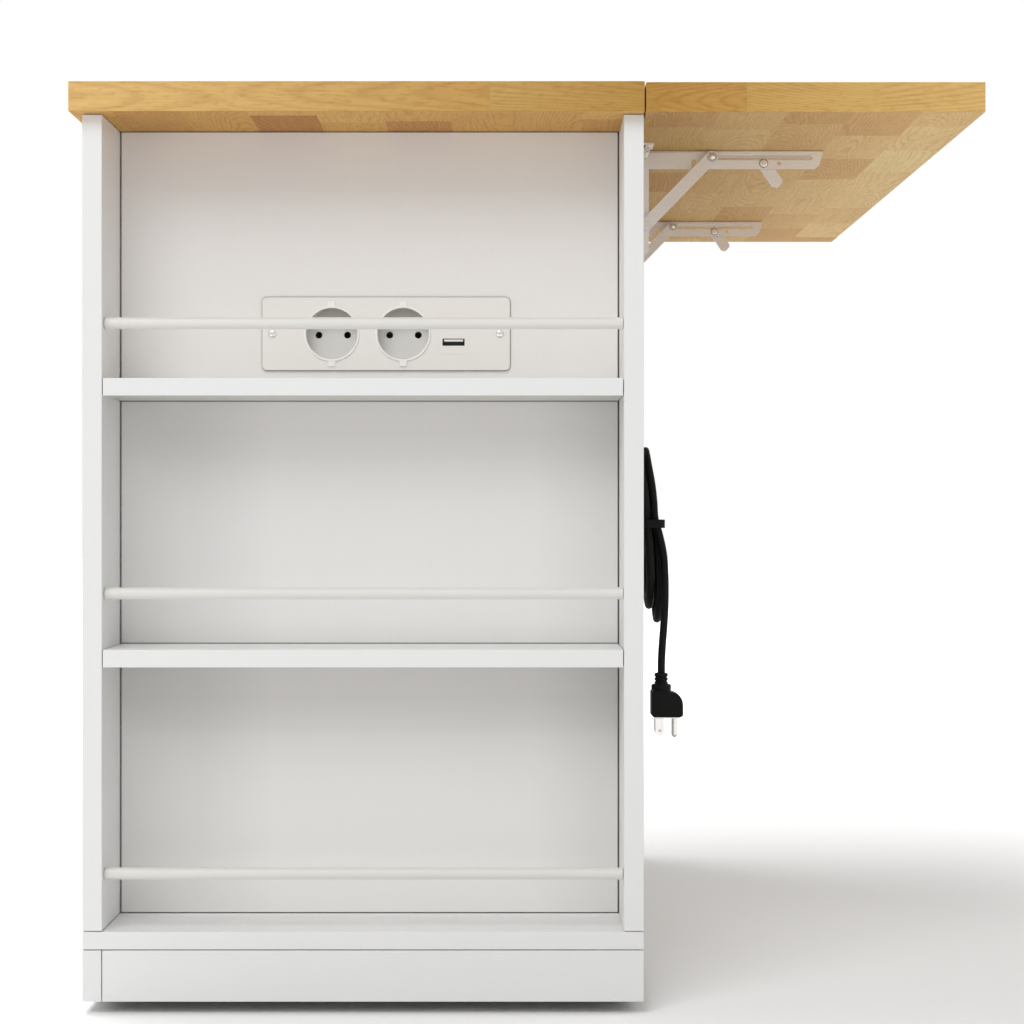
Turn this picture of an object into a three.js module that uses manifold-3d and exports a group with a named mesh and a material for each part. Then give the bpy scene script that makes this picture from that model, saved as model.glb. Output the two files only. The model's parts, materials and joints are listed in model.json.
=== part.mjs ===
// Drop leaf kitchen island: a painted cabinet with an open shelf niche in its near end, a solid
// wood worktop, and a wood leaf at the right that folds down on two slotted brackets.
// Millimetres. +X points to the leaf, +Y from the niche end to the far end, +Z up. The origin is
// on the floor, at the middle of the island with its leaf raised.
import * as THREE from 'three';
import { mergeVertices } from 'three/addons/utils/BufferGeometryUtils.js';
import Module from 'manifold-3d';

const wasm = await Module();
wasm.setup();

// ---------------------------------------------------------------- driving dimensions, whole
const totalHeight = 927;
const topLength = 1000;
const topThickness = 30;
const leafWidth = 336;
const leafSet = 1; // the leaf's top lies this much below the worktop's
const seamGap = 1.4;
const cabinetWidth = 560;
const endOverhang = 13;
const frontOverhang = 11;
const panelThickness = 20;
const boardThickness = 18;
const boardGap = 0.5; // seam between fixed boards
const jointGap = 0.1; // hairline behind plates and hinges
const seatGap = 0.3; // between a round or turned piece and what carries it
const kickHeight = 52;
const kickThickness = 19.4;
const glideHeight = 12;
const glideDiameter = 17;
const glideInset = 90; // from the cabinet's ends
const glideStrip = 2.5; // thickness of the strip that joins three glides

// ---------------------------------------------------------------- driving dimensions, niche
const nicheDepth = 98;
const upperBay = 263; // clear height above the upper shelf
const shelfSpacing = 271;
const railDiameter = 12;
const railRise = 55.5; // rail centre above the board below it
const railSetback = 15;

// ---------------------------------------------------------------- driving dimensions, outlet
const plateLength = 258;
const plateHeight = 76;
const plateThickness = 2.2;
const plateCorner = 5;
const plateShift = 17.3; // plate centre, right of the niche's centre
const plateRise = 51.9; // plate centre above the upper shelf
const socketPlaces = [-56.5, 17.8]; // from the plate's centre
const socketRing = 58;
const socketRecess = 53.6;
const socketDepth = 18;
const socketFloor = 6;
const socketLip = 1.2; // the ring stands this far proud of the plate
const socketEdge = 0.5; // chamfer on both edges of the ring
const cupWall = 1.4;
const pinHole = 7.4;
const pinSpacing = 30;
const clipWidth = 7.4;
const clipReach = 6;
const usbPlace = 70.3;
const usbWidth = 31.3;
const usbHeight = 42;
const usbDepth = 16;
const portWidth = 23;
const portHeight = 7.4;
const portSpacing = 17.6;
const portDepth = 12;
const tongueThickness = 2.2;
const tongueRise = 0.8; // tongue's underside above the port's middle
const tongueSide = 1.6; // space at each end of the tongue
const outletFit = 0.35;
const housingLength = 204;
const housingDepth = 46;
const housingWall = 2;

// ---------------------------------------------------------------- driving dimensions, front
const handleReach = 30;
const reveal = 3; // gap round doors and drawer
const drawerHeight = 145;
const railDepth = 40;
const drawerDepth = 450;
const drawerWall = 12;
const drawerBottom = 8;
const drawerBoxHeight = 108;
const drawerSideGap = 4;
const runnerThickness = 10;
const runnerHeight = 12;
const runnerGroove = 6.5;
const cupboardShelfRise = 330; // its top above the base board
const pivotInset = 5; // door pivot from the door's face and from its edge
const pivotPin = 4;
const pivotPinLength = 9;
const pivotStrip = 1.5;
const pivotStripWidth = 12;
const runnerSetback = 4;
const handleLength = 150;
const handleBar = 10;
const handleCorner = 3;
const handleInset = 40; // door handle's centre from the door's meeting edge
const handleDrop = 60; // its upper end below the door's top

// ---------------------------------------------------------------- driving dimensions, bracket
const bracketSpacing = 560; // from one arm to the other
const foldInset = 13; // fold axis from the cabinet's side
const foldDrop = 8; // fold axis below the leaf
const wallClear = 0.5;
const sheet = 2; // pressed steel
const armLength = 209.5;
const armFlange = 38;
const armFlangeSet = 2; // the flange ends this much before the web
const armNose = [10, 4.5, 4.8]; // start and end of the cut corner, back from the tip, and its rise
const webGap = 2.2; // between the arm's web and the wall plate's
const wallWebDepth = 18;
const wallPlateLength = 116;
const wallFlange = 13;
const wallCorner = 4;
const braceWidth = 13;
const braceThickness = 2.5;
const braceGap = 0.4;
const pinReach = 73.8; // raised brace pin from the fold axis
const braceAngle = 45.8;
const slotWidth = 5.1;
const slotEnd = 198;
const shank = 5;
const shankFit = 0.3;
const headDiameter = 9;
const headHeight = 2;
const leverPlace = 143.9; // lever rivet from the cabinet's side
const leverDrop = 14.1; // lever rivet below the leaf
const leverLength = 30.5;
const leverAngle = 56;
const leverInner = 6.2;
const leverOuter = 7.5;
const leverShank = 4;
const leverHead = 7;
const rearHead = 1.5; // height of the rivet heads behind the arm
const sightHole = 4.9;
const sightPlace = 160.8;
const notchPlace = 67.9;
const notchWidth = 6.3;
const notchHeight = 10.7;
const hingeLength = 32;
const hingeGap = 1.8; // between a leaf hinge and the flange beside it
const hingeBarrel = 7;
const hingePin = 3.2;
const hingeNeck = 2.5;
const hingePlateEnd = 20.6;
const hingePlateRise = 3; // the wall half's plate reaches this far above the fold axis

// ---------------------------------------------------------------- driving dimensions, cord
const cordDiameter = 8;
const cordSides = 10;
const cordInset = 41; // behind the niche's back panel
const cordOff = 4.9; // cord centre from the cabinet's side, where it hangs against it
const coverSize = 26;
const coverDepth = 9.4;
const coverCorner = 6;
const coverHole = 9.4; // through the cabinet's side
const coverDrop = 70.9; // underside of the cord cover, below the outlet plate's centre
const sleeveLength = 20;
const sleeveRoot = 4.7; // radius at the cover
const sleeveTip = 4.4;
const leadEnd = -50; // from the cover's underside, as all heights of the cord and the plug
const innerLeadRise = -10; // inner lead's start, from the plate's centre
const innerLeadInset = 10; // and from the housing's rear

// ---------------------------------------------------------------- planes
const cabinetLeft = -(handleReach + cabinetWidth + seamGap + leafWidth) / 2 + handleReach;
const cabinetRight = cabinetLeft + cabinetWidth;
const topNear = -topLength / 2;
const topFar = topLength / 2;
const cabinetNear = topNear + endOverhang;
const cabinetFar = topFar - endOverhang;
const cabinetTop = totalHeight - topThickness;
const kickTop = glideHeight + kickHeight;
const baseTop = kickTop + boardThickness;
const nicheLeft = cabinetLeft + panelThickness;
const nicheRight = cabinetRight - panelThickness;
const nicheMiddle = (nicheLeft + nicheRight) / 2;
const nicheFace = cabinetNear + nicheDepth;
const nicheRear = nicheFace + boardThickness;
const cupboardFar = cabinetFar - panelThickness;
const leafUnder = cabinetTop - leafSet;
const upperShelfTop = cabinetTop - upperBay;
const lowerShelfTop = upperShelfTop - shelfSpacing;
const plateX = nicheMiddle + plateShift;
const plateZ = upperShelfTop + plateRise;
const coverHeight = plateZ - coverDrop;
const cordY = nicheRear + cordInset;

// ---------------------------------------------------------------- materials
const finish = (color, roughness, metalness = 0) => (
  new THREE.MeshStandardMaterial({ color, roughness, metalness })
);
const paint = finish(0xe7e6e4, 0.45);
const wood = finish(0xc49a58, 0.5);
const steel = finish(0xbcaea2, 0.38, 0.85);
const rivetSteel = finish(0xcfc6bb, 0.25, 0.95);
const outletPlastic = finish(0xdedad4, 0.4);
const housingPlastic = finish(0x9a9a98, 0.6);
const cordRubber = finish(0x151615, 0.6);
const pinMetal = finish(0xd5d2cd, 0.25, 0.95);
const nickel = finish(0xb9b7b3, 0.3, 0.9);
const glidePlastic = finish(0x3a3a3a, 0.6);

// ---------------------------------------------------------------- helpers
const island = new THREE.Group();

function addPiece(parent, name, geometry, material) {
  const mesh = new THREE.Mesh(geometry, material);
  mesh.name = name;
  parent.add(mesh);
  return mesh;
}

// A block between two corners, given as [from, to] along each axis.
function block(x, y, z) {
  const geometry = new THREE.BoxGeometry(x[1] - x[0], y[1] - y[0], z[1] - z[0]);
  return geometry.translate((x[0] + x[1]) / 2, (y[0] + y[1]) / 2, (z[0] + z[1]) / 2);
}

// A board is a plain block whose place is its mesh's position.
function addBoard(parent, name, material, x, y, z) {
  const geometry = new THREE.BoxGeometry(x[1] - x[0], y[1] - y[0], z[1] - z[0]);
  const mesh = addPiece(parent, name, geometry, material);
  mesh.position.set((x[0] + x[1]) / 2, (y[0] + y[1]) / 2, (z[0] + z[1]) / 2);
  return mesh;
}

function toSolid(geometry) {
  const bare = geometry.clone();
  bare.deleteAttribute('normal');
  bare.deleteAttribute('uv');
  const merged = mergeVertices(bare, 1e-4);
  const vertProperties = new Float32Array(merged.attributes.position.array);
  const triVerts = new Uint32Array(merged.index.array);
  return new wasm.Manifold(new wasm.Mesh({ numProp: 3, vertProperties, triVerts }));
}

function toGeometry(solid) {
  const mesh = solid.getMesh();
  const geometry = new THREE.BufferGeometry();
  const corners = new Float32Array(mesh.vertProperties);
  geometry.setAttribute('position', new THREE.BufferAttribute(corners, 3));
  geometry.setIndex(new THREE.BufferAttribute(new Uint32Array(mesh.triVerts), 1));
  geometry.computeVertexNormals();
  return geometry;
}

const join = (...parts) => toGeometry(parts.map(toSolid).reduce((a, b) => a.add(b)));
const cut = (body, ...tools) => (
  toGeometry(tools.map(toSolid).reduce((left, tool) => left.subtract(tool), toSolid(body)))
);

// Cylinders along each axis, between two places on it.
function rodX(diameter, x, y, z, sides = 16) {
  const geometry = new THREE.CylinderGeometry(diameter / 2, diameter / 2, x[1] - x[0], sides);
  return geometry.rotateZ(Math.PI / 2).translate((x[0] + x[1]) / 2, y, z);
}

function rodY(diameter, x, y, z, sides = 16) {
  const geometry = new THREE.CylinderGeometry(diameter / 2, diameter / 2, y[1] - y[0], sides);
  return geometry.translate(x, (y[0] + y[1]) / 2, z);
}

function rodZ(diameter, x, y, z, sides = 16) {
  const geometry = new THREE.CylinderGeometry(diameter / 2, diameter / 2, z[1] - z[0], sides);
  return geometry.rotateX(Math.PI / 2).translate(x, y, (z[0] + z[1]) / 2);
}

// An outline's points, without the doubles where an arc starts on the end of a line.
function cleanShape(shape, curveSegments) {
  const points = shape.extractPoints(curveSegments);
  const single = (loop) => loop.filter((point, i) => (
    point.distanceTo(loop[(i + loop.length - 1) % loop.length]) > 1e-3
  ));
  const clean = new THREE.Shape(single(points.shape));
  clean.holes = points.holes.map((hole) => new THREE.Path(single(hole)));
  return clean;
}

function plate(shape, depth, curveSegments) {
  return new THREE.ExtrudeGeometry(cleanShape(shape, curveSegments), { depth, bevelEnabled: false });
}

// A flat outline made a plate. Its own x and y become x and z, and its thickness runs along +Y.
function plateXZ(shape, thickness, front, curveSegments = 8) {
  return plate(shape, thickness, curveSegments).rotateX(Math.PI / 2).translate(0, front + thickness, 0);
}

// The same with its own x and y along y and z, and its thickness along +X.
function plateYZ(shape, thickness, left, curveSegments = 8) {
  const turn = new THREE.Matrix4().set(0, 0, 1, 0, 1, 0, 0, 0, 0, 1, 0, 0, 0, 0, 0, 1);
  return plate(shape, thickness, curveSegments).applyMatrix4(turn).translate(left, 0, 0);
}

function roundedRectangle(width, height, radius) {
  const shape = new THREE.Shape();
  const x = width / 2 - radius;
  const y = height / 2 - radius;
  shape.absarc(x, y, radius, 0, Math.PI / 2);
  shape.absarc(-x, y, radius, Math.PI / 2, Math.PI);
  shape.absarc(-x, -y, radius, Math.PI, 1.5 * Math.PI);
  shape.absarc(x, -y, radius, 1.5 * Math.PI, 2 * Math.PI);
  shape.closePath();
  return shape;
}

// A flat bar with round ends, from one pin centre to another.
function linkShape(from, to, width) {
  const angle = Math.atan2(to.y - from.y, to.x - from.x);
  const shape = new THREE.Shape();
  shape.absarc(to.x, to.y, width / 2, angle - Math.PI / 2, angle + Math.PI / 2);
  shape.absarc(from.x, from.y, width / 2, angle + Math.PI / 2, angle + 1.5 * Math.PI);
  shape.closePath();
  return shape;
}

function circlePath(x, y, diameter) {
  const path = new THREE.Path();
  path.absarc(x, y, diameter / 2, 0, 2 * Math.PI, true);
  return path;
}

// A round piece turned about Z from [radius, height] pairs that start and end on the axis.
function turned(profile, sides = 20) {
  const points = profile.map(([radius, height]) => new THREE.Vector2(radius, height));
  return new THREE.LatheGeometry(points, sides).rotateX(Math.PI / 2);
}

// A plain cord stretch along a smooth curve, with closed ends.
function cordTube(points) {
  const path = new THREE.CatmullRomCurve3(points, false, 'centripetal');
  const steps = Math.max(2, Math.round(path.getLength() / (2.2 * cordDiameter)));
  const corners = Array.from({ length: cordSides }, (_, i) => {
    const angle = (2 * Math.PI * i) / cordSides;
    return new THREE.Vector2(Math.cos(angle), Math.sin(angle)).multiplyScalar(cordDiameter / 2);
  });
  return new THREE.ExtrudeGeometry(new THREE.Shape(corners), { steps, extrudePath: path });
}

// ---------------------------------------------------------------- cabinet
function addCabinet() {
  const cabinet = new THREE.Group();
  const wholeX = [cabinetLeft, cabinetRight];
  const wholeY = [cabinetNear, cabinetFar];
  const panelZ = [baseTop + boardGap, cabinetTop - boardGap];
  const kickZ = [glideHeight, kickTop - boardGap];
  const kickIn = kickThickness + boardGap;
  addBoard(cabinet, 'base_board', paint, wholeX, wholeY, [kickTop, baseTop]);
  addBoard(cabinet, 'kick_near_end', paint, [cabinetLeft + kickIn, cabinetRight],
    [cabinetNear, cabinetNear + kickThickness], kickZ);
  addBoard(cabinet, 'kick_front', paint, [cabinetLeft, cabinetLeft + kickThickness], wholeY, kickZ);
  addBoard(cabinet, 'kick_back', paint, [cabinetRight - kickThickness, cabinetRight],
    [cabinetNear + kickIn, cabinetFar], kickZ);
  addBoard(cabinet, 'kick_far_end', paint, [cabinetLeft + kickIn, cabinetRight - kickIn],
    [cabinetFar - kickThickness, cabinetFar], kickZ);
  addGlides(cabinet, 'front', cabinetLeft + kickThickness / 2);
  addGlides(cabinet, 'back', cabinetRight - kickThickness / 2);
  addBoard(cabinet, 'niche_side_panel', paint,
    [cabinetLeft, nicheLeft], [cabinetNear, nicheRear], panelZ);
  addBoard(cabinet, 'far_end_panel', paint,
    [cabinetLeft, nicheRight - boardGap], [cupboardFar, cabinetFar], panelZ);

  const backPanel = block([nicheRight, cabinetRight], wholeY, panelZ);
  const cordHole = rodX(coverHole, [nicheRight - 1, cabinetRight + 1], cordY,
    coverHeight + coverSize / 2);
  addPiece(cabinet, 'back_panel', cut(backPanel, cordHole), paint);

  const nicheBack = block([nicheLeft + boardGap, nicheRight - boardGap], [nicheFace, nicheRear],
    panelZ);
  const window = block(
    [plateX - housingLength / 2 - outletFit, plateX + housingLength / 2 + outletFit],
    [nicheFace - 1, nicheRear + 1],
    [plateZ - housingHeight() / 2 - outletFit, plateZ + housingHeight() / 2 + outletFit],
  );
  addPiece(cabinet, 'niche_back_panel', cut(nicheBack, window), paint);

  const cupboardY = [nicheRear + boardGap, cupboardFar - boardGap];
  const shelfTop = baseTop + cupboardShelfRise;
  addBoard(cabinet, 'front_rail', paint, [cabinetLeft, cabinetLeft + railDepth],
    cupboardY, [drawerUnder() - boardThickness, drawerUnder()]);
  addBoard(cabinet, 'cupboard_shelf', paint,
    [cabinetLeft + 1.5 * boardThickness, nicheRight - boardGap],
    cupboardY, [shelfTop - boardThickness, shelfTop]);
  addBoard(cabinet, 'worktop', wood, [cabinetLeft - frontOverhang, cabinetRight], [topNear, topFar],
    [cabinetTop, totalHeight]);
  island.add(cabinet);
}

// Three round glides under a kick board, on one strip.
function addGlides(cabinet, end, x) {
  const top = glideHeight - jointGap;
  const ends = [cabinetNear + glideInset, cabinetFar - glideInset];
  const strip = block([x - glideDiameter / 3, x + glideDiameter / 3], ends, [top - glideStrip, top]);
  const glides = [ends[0], (ends[0] + ends[1]) / 2, ends[1]].map((y) => (
    rodZ(glideDiameter, x, y, [0, top], 20)
  ));
  addPiece(cabinet, `glide_strip_${end}`, join(strip, ...glides), glidePlastic);
}

// The open space below the drawer front starts at this height, on the front rail's top.
function drawerUnder() {
  return cabinetTop - drawerHeight - 2 * reveal;
}

function housingHeight() {
  return socketRecess + 2 * (cupWall + outletFit + housingWall);
}

// ---------------------------------------------------------------- niche
function addNiche() {
  const niche = new THREE.Group();
  const shelfX = [nicheLeft + boardGap, nicheRight - boardGap];
  const shelfY = [cabinetNear, nicheFace - boardGap];
  const shelves = [['niche_shelf_lower', lowerShelfTop], ['niche_shelf_upper', upperShelfTop]];
  for (const [name, top] of shelves) {
    addBoard(niche, name, paint, shelfX, shelfY, [top - boardThickness, top]);
  }
  const length = nicheRight - nicheLeft - 2 * seatGap;
  const rails = [
    ['niche_rail_low', baseTop],
    ['niche_rail_middle', lowerShelfTop],
    ['niche_rail_high', upperShelfTop],
  ];
  for (const [name, top] of rails) {
    const rod = new THREE.CylinderGeometry(railDiameter / 2, railDiameter / 2, length, 24);
    const rail = addPiece(niche, name, rod, paint);
    rail.rotation.z = Math.PI / 2;
    rail.position.set(nicheMiddle, cabinetNear + railSetback, top + railRise);
  }
  island.add(niche);
}

// ---------------------------------------------------------------- outlet
// The group's origin is the plate's centre, on the face of the niche's back panel.
function addOutlet() {
  const outlet = new THREE.Group();
  outlet.position.set(plateX, nicheFace, plateZ);
  const plateFront = -jointGap - plateThickness;
  const cupOuter = socketRecess + 2 * cupWall;

  const plateShape = roundedRectangle(plateLength, plateHeight, plateCorner);
  for (const place of socketPlaces) {
    plateShape.holes.push(circlePath(place, 0, cupOuter + 2 * outletFit));
  }
  const cover = plateXZ(plateShape, plateThickness, plateFront, 14);
  const usbWindow = block(
    [usbPlace - usbWidth / 2 - outletFit, usbPlace + usbWidth / 2 + outletFit],
    [plateFront - 1, 1],
    [-usbHeight / 2 - outletFit, usbHeight / 2 + outletFit],
  );
  addPiece(outlet, 'outlet_plate', cut(cover, usbWindow), outletPlastic);

  socketPlaces.forEach((place, i) => {
    addPiece(outlet, `socket_${i + 1}`, socketGeometry(place, plateFront), outletPlastic);
  });
  addPiece(outlet, 'usb_module', usbGeometry(plateFront), outletPlastic);

  const halfLength = housingLength / 2;
  const halfHeight = housingHeight() / 2;
  const shell = block([-halfLength, halfLength], [0, housingDepth], [-halfHeight, halfHeight]);
  const hollow = block(
    [housingWall - halfLength, halfLength - housingWall],
    [-1, housingDepth - housingWall],
    [housingWall - halfHeight, halfHeight - housingWall],
  );
  addPiece(outlet, 'outlet_housing', cut(shell, hollow), housingPlastic);
  island.add(outlet);
}

// A recessed round socket: a ring over the plate, a cup behind it, two pin holes and two clips.
function socketGeometry(place, plateFront) {
  const ring = socketRing / 2;
  const cup = socketRecess / 2 + cupWall;
  const seat = plateFront - seatGap / 2;
  const face = seat - socketLip;
  const floor = face + socketDepth;
  const rear = floor + socketFloor;
  const recess = socketRecess / 2;
  const bowl = turned([[0, -rear], [cup, -rear], [cup, -seat], [ring, -seat],
    [ring, -face - socketEdge], [ring - socketEdge, -face], [recess + socketEdge, -face],
    [recess, -face - socketEdge], [recess, -floor], [0, -floor]], 40);
  // The profile's height runs from the rear to the face, which looks along -Y.
  const body = bowl.rotateX(Math.PI / 2).translate(place, 0, 0);
  const clips = [1, -1].map((side) => {
    const z = side * (ring + clipReach / 2 - 1);
    return block([place - clipWidth / 2, place + clipWidth / 2], [face, seat],
      [z - clipReach / 2, z + clipReach / 2]);
  });
  const holes = [-1, 1].map((side) => (
    rodY(pinHole, place + (side * pinSpacing) / 2, [floor - 1, rear + 1], 0, 14)
  ));
  return cut(join(body, ...clips), ...holes);
}

// A rectangular insert with two charging ports, each a pocket with a tongue in its upper half.
function usbGeometry(plateFront) {
  const rear = plateFront + usbDepth;
  let module = block([usbPlace - usbWidth / 2, usbPlace + usbWidth / 2], [plateFront, rear],
    [-usbHeight / 2, usbHeight / 2]);
  for (const side of [-1, 1]) {
    const z = (side * portSpacing) / 2;
    const reach = portWidth / 2 - tongueSide;
    const pocket = block([usbPlace - portWidth / 2, usbPlace + portWidth / 2],
      [plateFront - 1, plateFront + portDepth], [z - portHeight / 2, z + portHeight / 2]);
    const tongue = block([usbPlace - reach, usbPlace + reach],
      [plateFront + 1, plateFront + portDepth + 1],
      [z + tongueRise, z + tongueRise + tongueThickness]);
    module = join(cut(module, pocket), tongue);
  }
  return module;
}

// ---------------------------------------------------------------- leaf and brackets
const webHeight = foldInset + foldDrop - wallClear; // folded, the web just clears the wall
const braceRise = pinReach * Math.tan(THREE.MathUtils.degToRad(braceAngle));
const wallWebFront = -webGap - sheet;
const foldAxis = new THREE.Vector2(foldInset, -foldDrop);
const braceFoot = new THREE.Vector2(foldInset, -foldDrop - braceRise);
const bracePin = new THREE.Vector2(foldInset + pinReach, -foldDrop);

function addLeaf() {
  const leafLeft = cabinetRight + seamGap;
  addBoard(island, 'drop_leaf', wood, [leafLeft, leafLeft + leafWidth], [topNear, topFar],
    [leafUnder, leafUnder + topThickness]);
  const nearFlange = webGap + wallFlange;
  for (const [end, side, flange] of [['near', -1, nearFlange], ['far', 1, armFlange]]) {
    addBracket(end, (side * bracketSpacing) / 2);
    addLeafHinge(end, side * (bracketSpacing / 2 + flange + hingeGap + hingeLength / 2));
  }
}

// One folding bracket. Its origin is on the cabinet's side, at the leaf's underside, in the plane
// of the arm's near face. From the arm towards the near end lie the wall plate's web and the brace.
function addBracket(end, y) {
  const bracket = new THREE.Group();
  bracket.position.set(cabinetRight, y, leafUnder);
  const braceFront = wallWebFront - braceGap - braceThickness;
  addPiece(bracket, `bracket_arm_${end}`, armGeometry(), steel);
  addPiece(bracket, `bracket_wall_plate_${end}`, wallPlateGeometry(braceFront), steel);
  addPiece(bracket, `bracket_brace_${end}`, braceGeometry(braceFront), steel);

  addPiece(bracket, `bracket_fold_rivet_${end}`, foldRivetGeometry(), rivetSteel);

  const leverFront = sheet + braceGap;
  const lever = addPiece(bracket, `bracket_lever_${end}`, leverGeometry(leverFront), steel);
  lever.position.set(leverPlace, 0, -leverDrop);
  lever.rotation.y = THREE.MathUtils.degToRad(leverAngle);
  const leverRear = leverFront + sheet + seatGap;
  const leverRivet = rivetGeometry(leverShank, [
    [-seatGap - headHeight, -seatGap, headDiameter],
    [leverRear, leverRear + rearHead, leverHead],
  ]).translate(leverPlace, 0, -leverDrop);
  addPiece(bracket, `bracket_lever_rivet_${end}`, leverRivet, rivetSteel);
  island.add(bracket);
}

// The arm: a web with a long slot, a flange under the leaf, and a root rounded about the fold axis.
function armGeometry() {
  const rootRadius = webHeight - foldDrop;
  const rootAngle = Math.PI - Math.asin((foldDrop - jointGap) / rootRadius);
  const notchRound = notchWidth / 2;
  const notchTop = -webHeight + notchHeight - notchRound;
  const [noseStart, noseEnd, noseRise] = armNose;
  const shape = new THREE.Shape();
  shape.moveTo(armLength, -jointGap);
  shape.lineTo(foldAxis.x + rootRadius, -jointGap);
  shape.absarc(foldAxis.x, foldAxis.y, rootRadius, rootAngle, 1.5 * Math.PI);
  shape.lineTo(notchPlace - notchRound, -webHeight);
  shape.lineTo(notchPlace - notchRound, notchTop);
  shape.absarc(notchPlace, notchTop, notchRound, Math.PI, 0, true);
  shape.lineTo(notchPlace + notchRound, -webHeight);
  shape.lineTo(armLength - noseStart, -webHeight);
  shape.lineTo(armLength - noseEnd, -webHeight + noseRise);
  shape.closePath();
  const slotFrom = new THREE.Vector2(bracePin.x - 1, -foldDrop);
  const slotTo = new THREE.Vector2(slotEnd - slotWidth / 2, -foldDrop);
  shape.holes.push(linkShape(slotFrom, slotTo, slotWidth));
  shape.holes.push(circlePath(foldAxis.x, foldAxis.y, shank + 2 * shankFit));
  shape.holes.push(circlePath(leverPlace, -leverDrop, leverShank + 2 * shankFit));
  shape.holes.push(circlePath(sightPlace, -leverDrop, sightHole));
  const flangeRoot = foldAxis.x - rootRadius / Math.SQRT2;
  const flange = block([flangeRoot, armLength - armFlangeSet], [sheet / 2, armFlange],
    [-jointGap - sheet, -jointGap]);
  return join(plateXZ(shape, sheet, 0), flange);
}

// The wall plate: a flange on the cabinet, a web across it and the stud that the brace turns on.
function wallPlateGeometry(braceFront) {
  const top = -foldDrop + Math.sqrt((foldDrop - 0.5) ** 2 - (wallWebDepth - foldInset) ** 2);
  const bottom = top - wallPlateLength;
  const shape = new THREE.Shape();
  shape.moveTo(jointGap, top);
  shape.lineTo(jointGap, bottom);
  shape.lineTo(wallWebDepth - 2 * wallCorner, bottom);
  shape.lineTo(wallWebDepth, bottom + 2 * wallCorner);
  shape.absarc(wallWebDepth - wallCorner, top - wallCorner, wallCorner, 0, Math.PI / 2);
  shape.closePath();
  shape.holes.push(circlePath(foldAxis.x, foldAxis.y, shank + 2 * shankFit));
  const flange = block([jointGap, jointGap + sheet], [-webGap - wallFlange, wallWebFront + sheet / 2],
    [bottom, top]);
  const headRear = braceFront - seatGap;
  const stud = rodY(shank, braceFoot.x, [headRear - 1, wallWebFront + sheet / 2], braceFoot.y);
  const head = rodY(headDiameter, braceFoot.x, [headRear - headHeight, headRear], braceFoot.y);
  return join(plateXZ(shape, sheet, wallWebFront), flange, stud, head);
}

// The brace, with the pin that runs along the arm's slot riveted into its upper end.
function braceGeometry(front) {
  const shape = linkShape(braceFoot, bracePin, braceWidth);
  shape.holes.push(circlePath(braceFoot.x, braceFoot.y, shank + 2 * shankFit));
  const rear = -headHeight - 2 * seatGap; // the pin's end clears the rivet heads on the arm
  const pin = rodY(slotWidth - 0.6, bracePin.x, [front + 1, rear], bracePin.y);
  const rim = headDiameter / 2;
  const head = turned([[0, 0], [rim, 0], [rim, 0.35 * headHeight], [0.63 * rim, 0.85 * headHeight],
    [0, headHeight]], 16);
  const dome = head.rotateX(Math.PI / 2).translate(bracePin.x, front + 0.2, bracePin.y);
  return join(plateXZ(shape, braceThickness, front), pin, dome);
}

// A rivet along Y: its shank, and a head between each pair of places.
function rivetGeometry(diameter, heads) {
  const places = heads.flatMap(([from, to]) => [from, to]);
  const stem = rodY(diameter, 0, [Math.min(...places) + 0.5, Math.max(...places) - 0.5], 0);
  return join(stem, ...heads.map(([from, to, size]) => rodY(size, 0, [from, to], 0)));
}

// The fold rivet: a head behind the arm, a collar between the two webs and a flush front end.
function foldRivetGeometry() {
  const rivet = rivetGeometry(shank, [
    [sheet + seatGap, sheet + seatGap + rearHead, headDiameter],
    [seatGap - webGap, -seatGap, headDiameter - 1],
    [wallWebFront, wallWebFront + sheet / 2, shank],
  ]);
  return rivet.translate(foldAxis.x, 0, foldAxis.y);
}

// The release lever lies behind the arm's web. Along its own x it reaches from its rivet to its tip.
function leverGeometry(front) {
  const shape = new THREE.Shape();
  shape.absarc(0, 0, leverInner, Math.PI, 1.5 * Math.PI);
  shape.lineTo(leverLength - 4, -leverInner);
  shape.lineTo(leverLength, -leverInner + 4);
  shape.lineTo(leverLength - 1.5, leverOuter - 2);
  shape.lineTo(leverLength - 4, leverOuter);
  shape.lineTo(0, leverOuter);
  shape.closePath();
  shape.holes.push(circlePath(0, 0, leverShank + 2 * shankFit));
  return plateXZ(shape, sheet, front);
}

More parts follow.
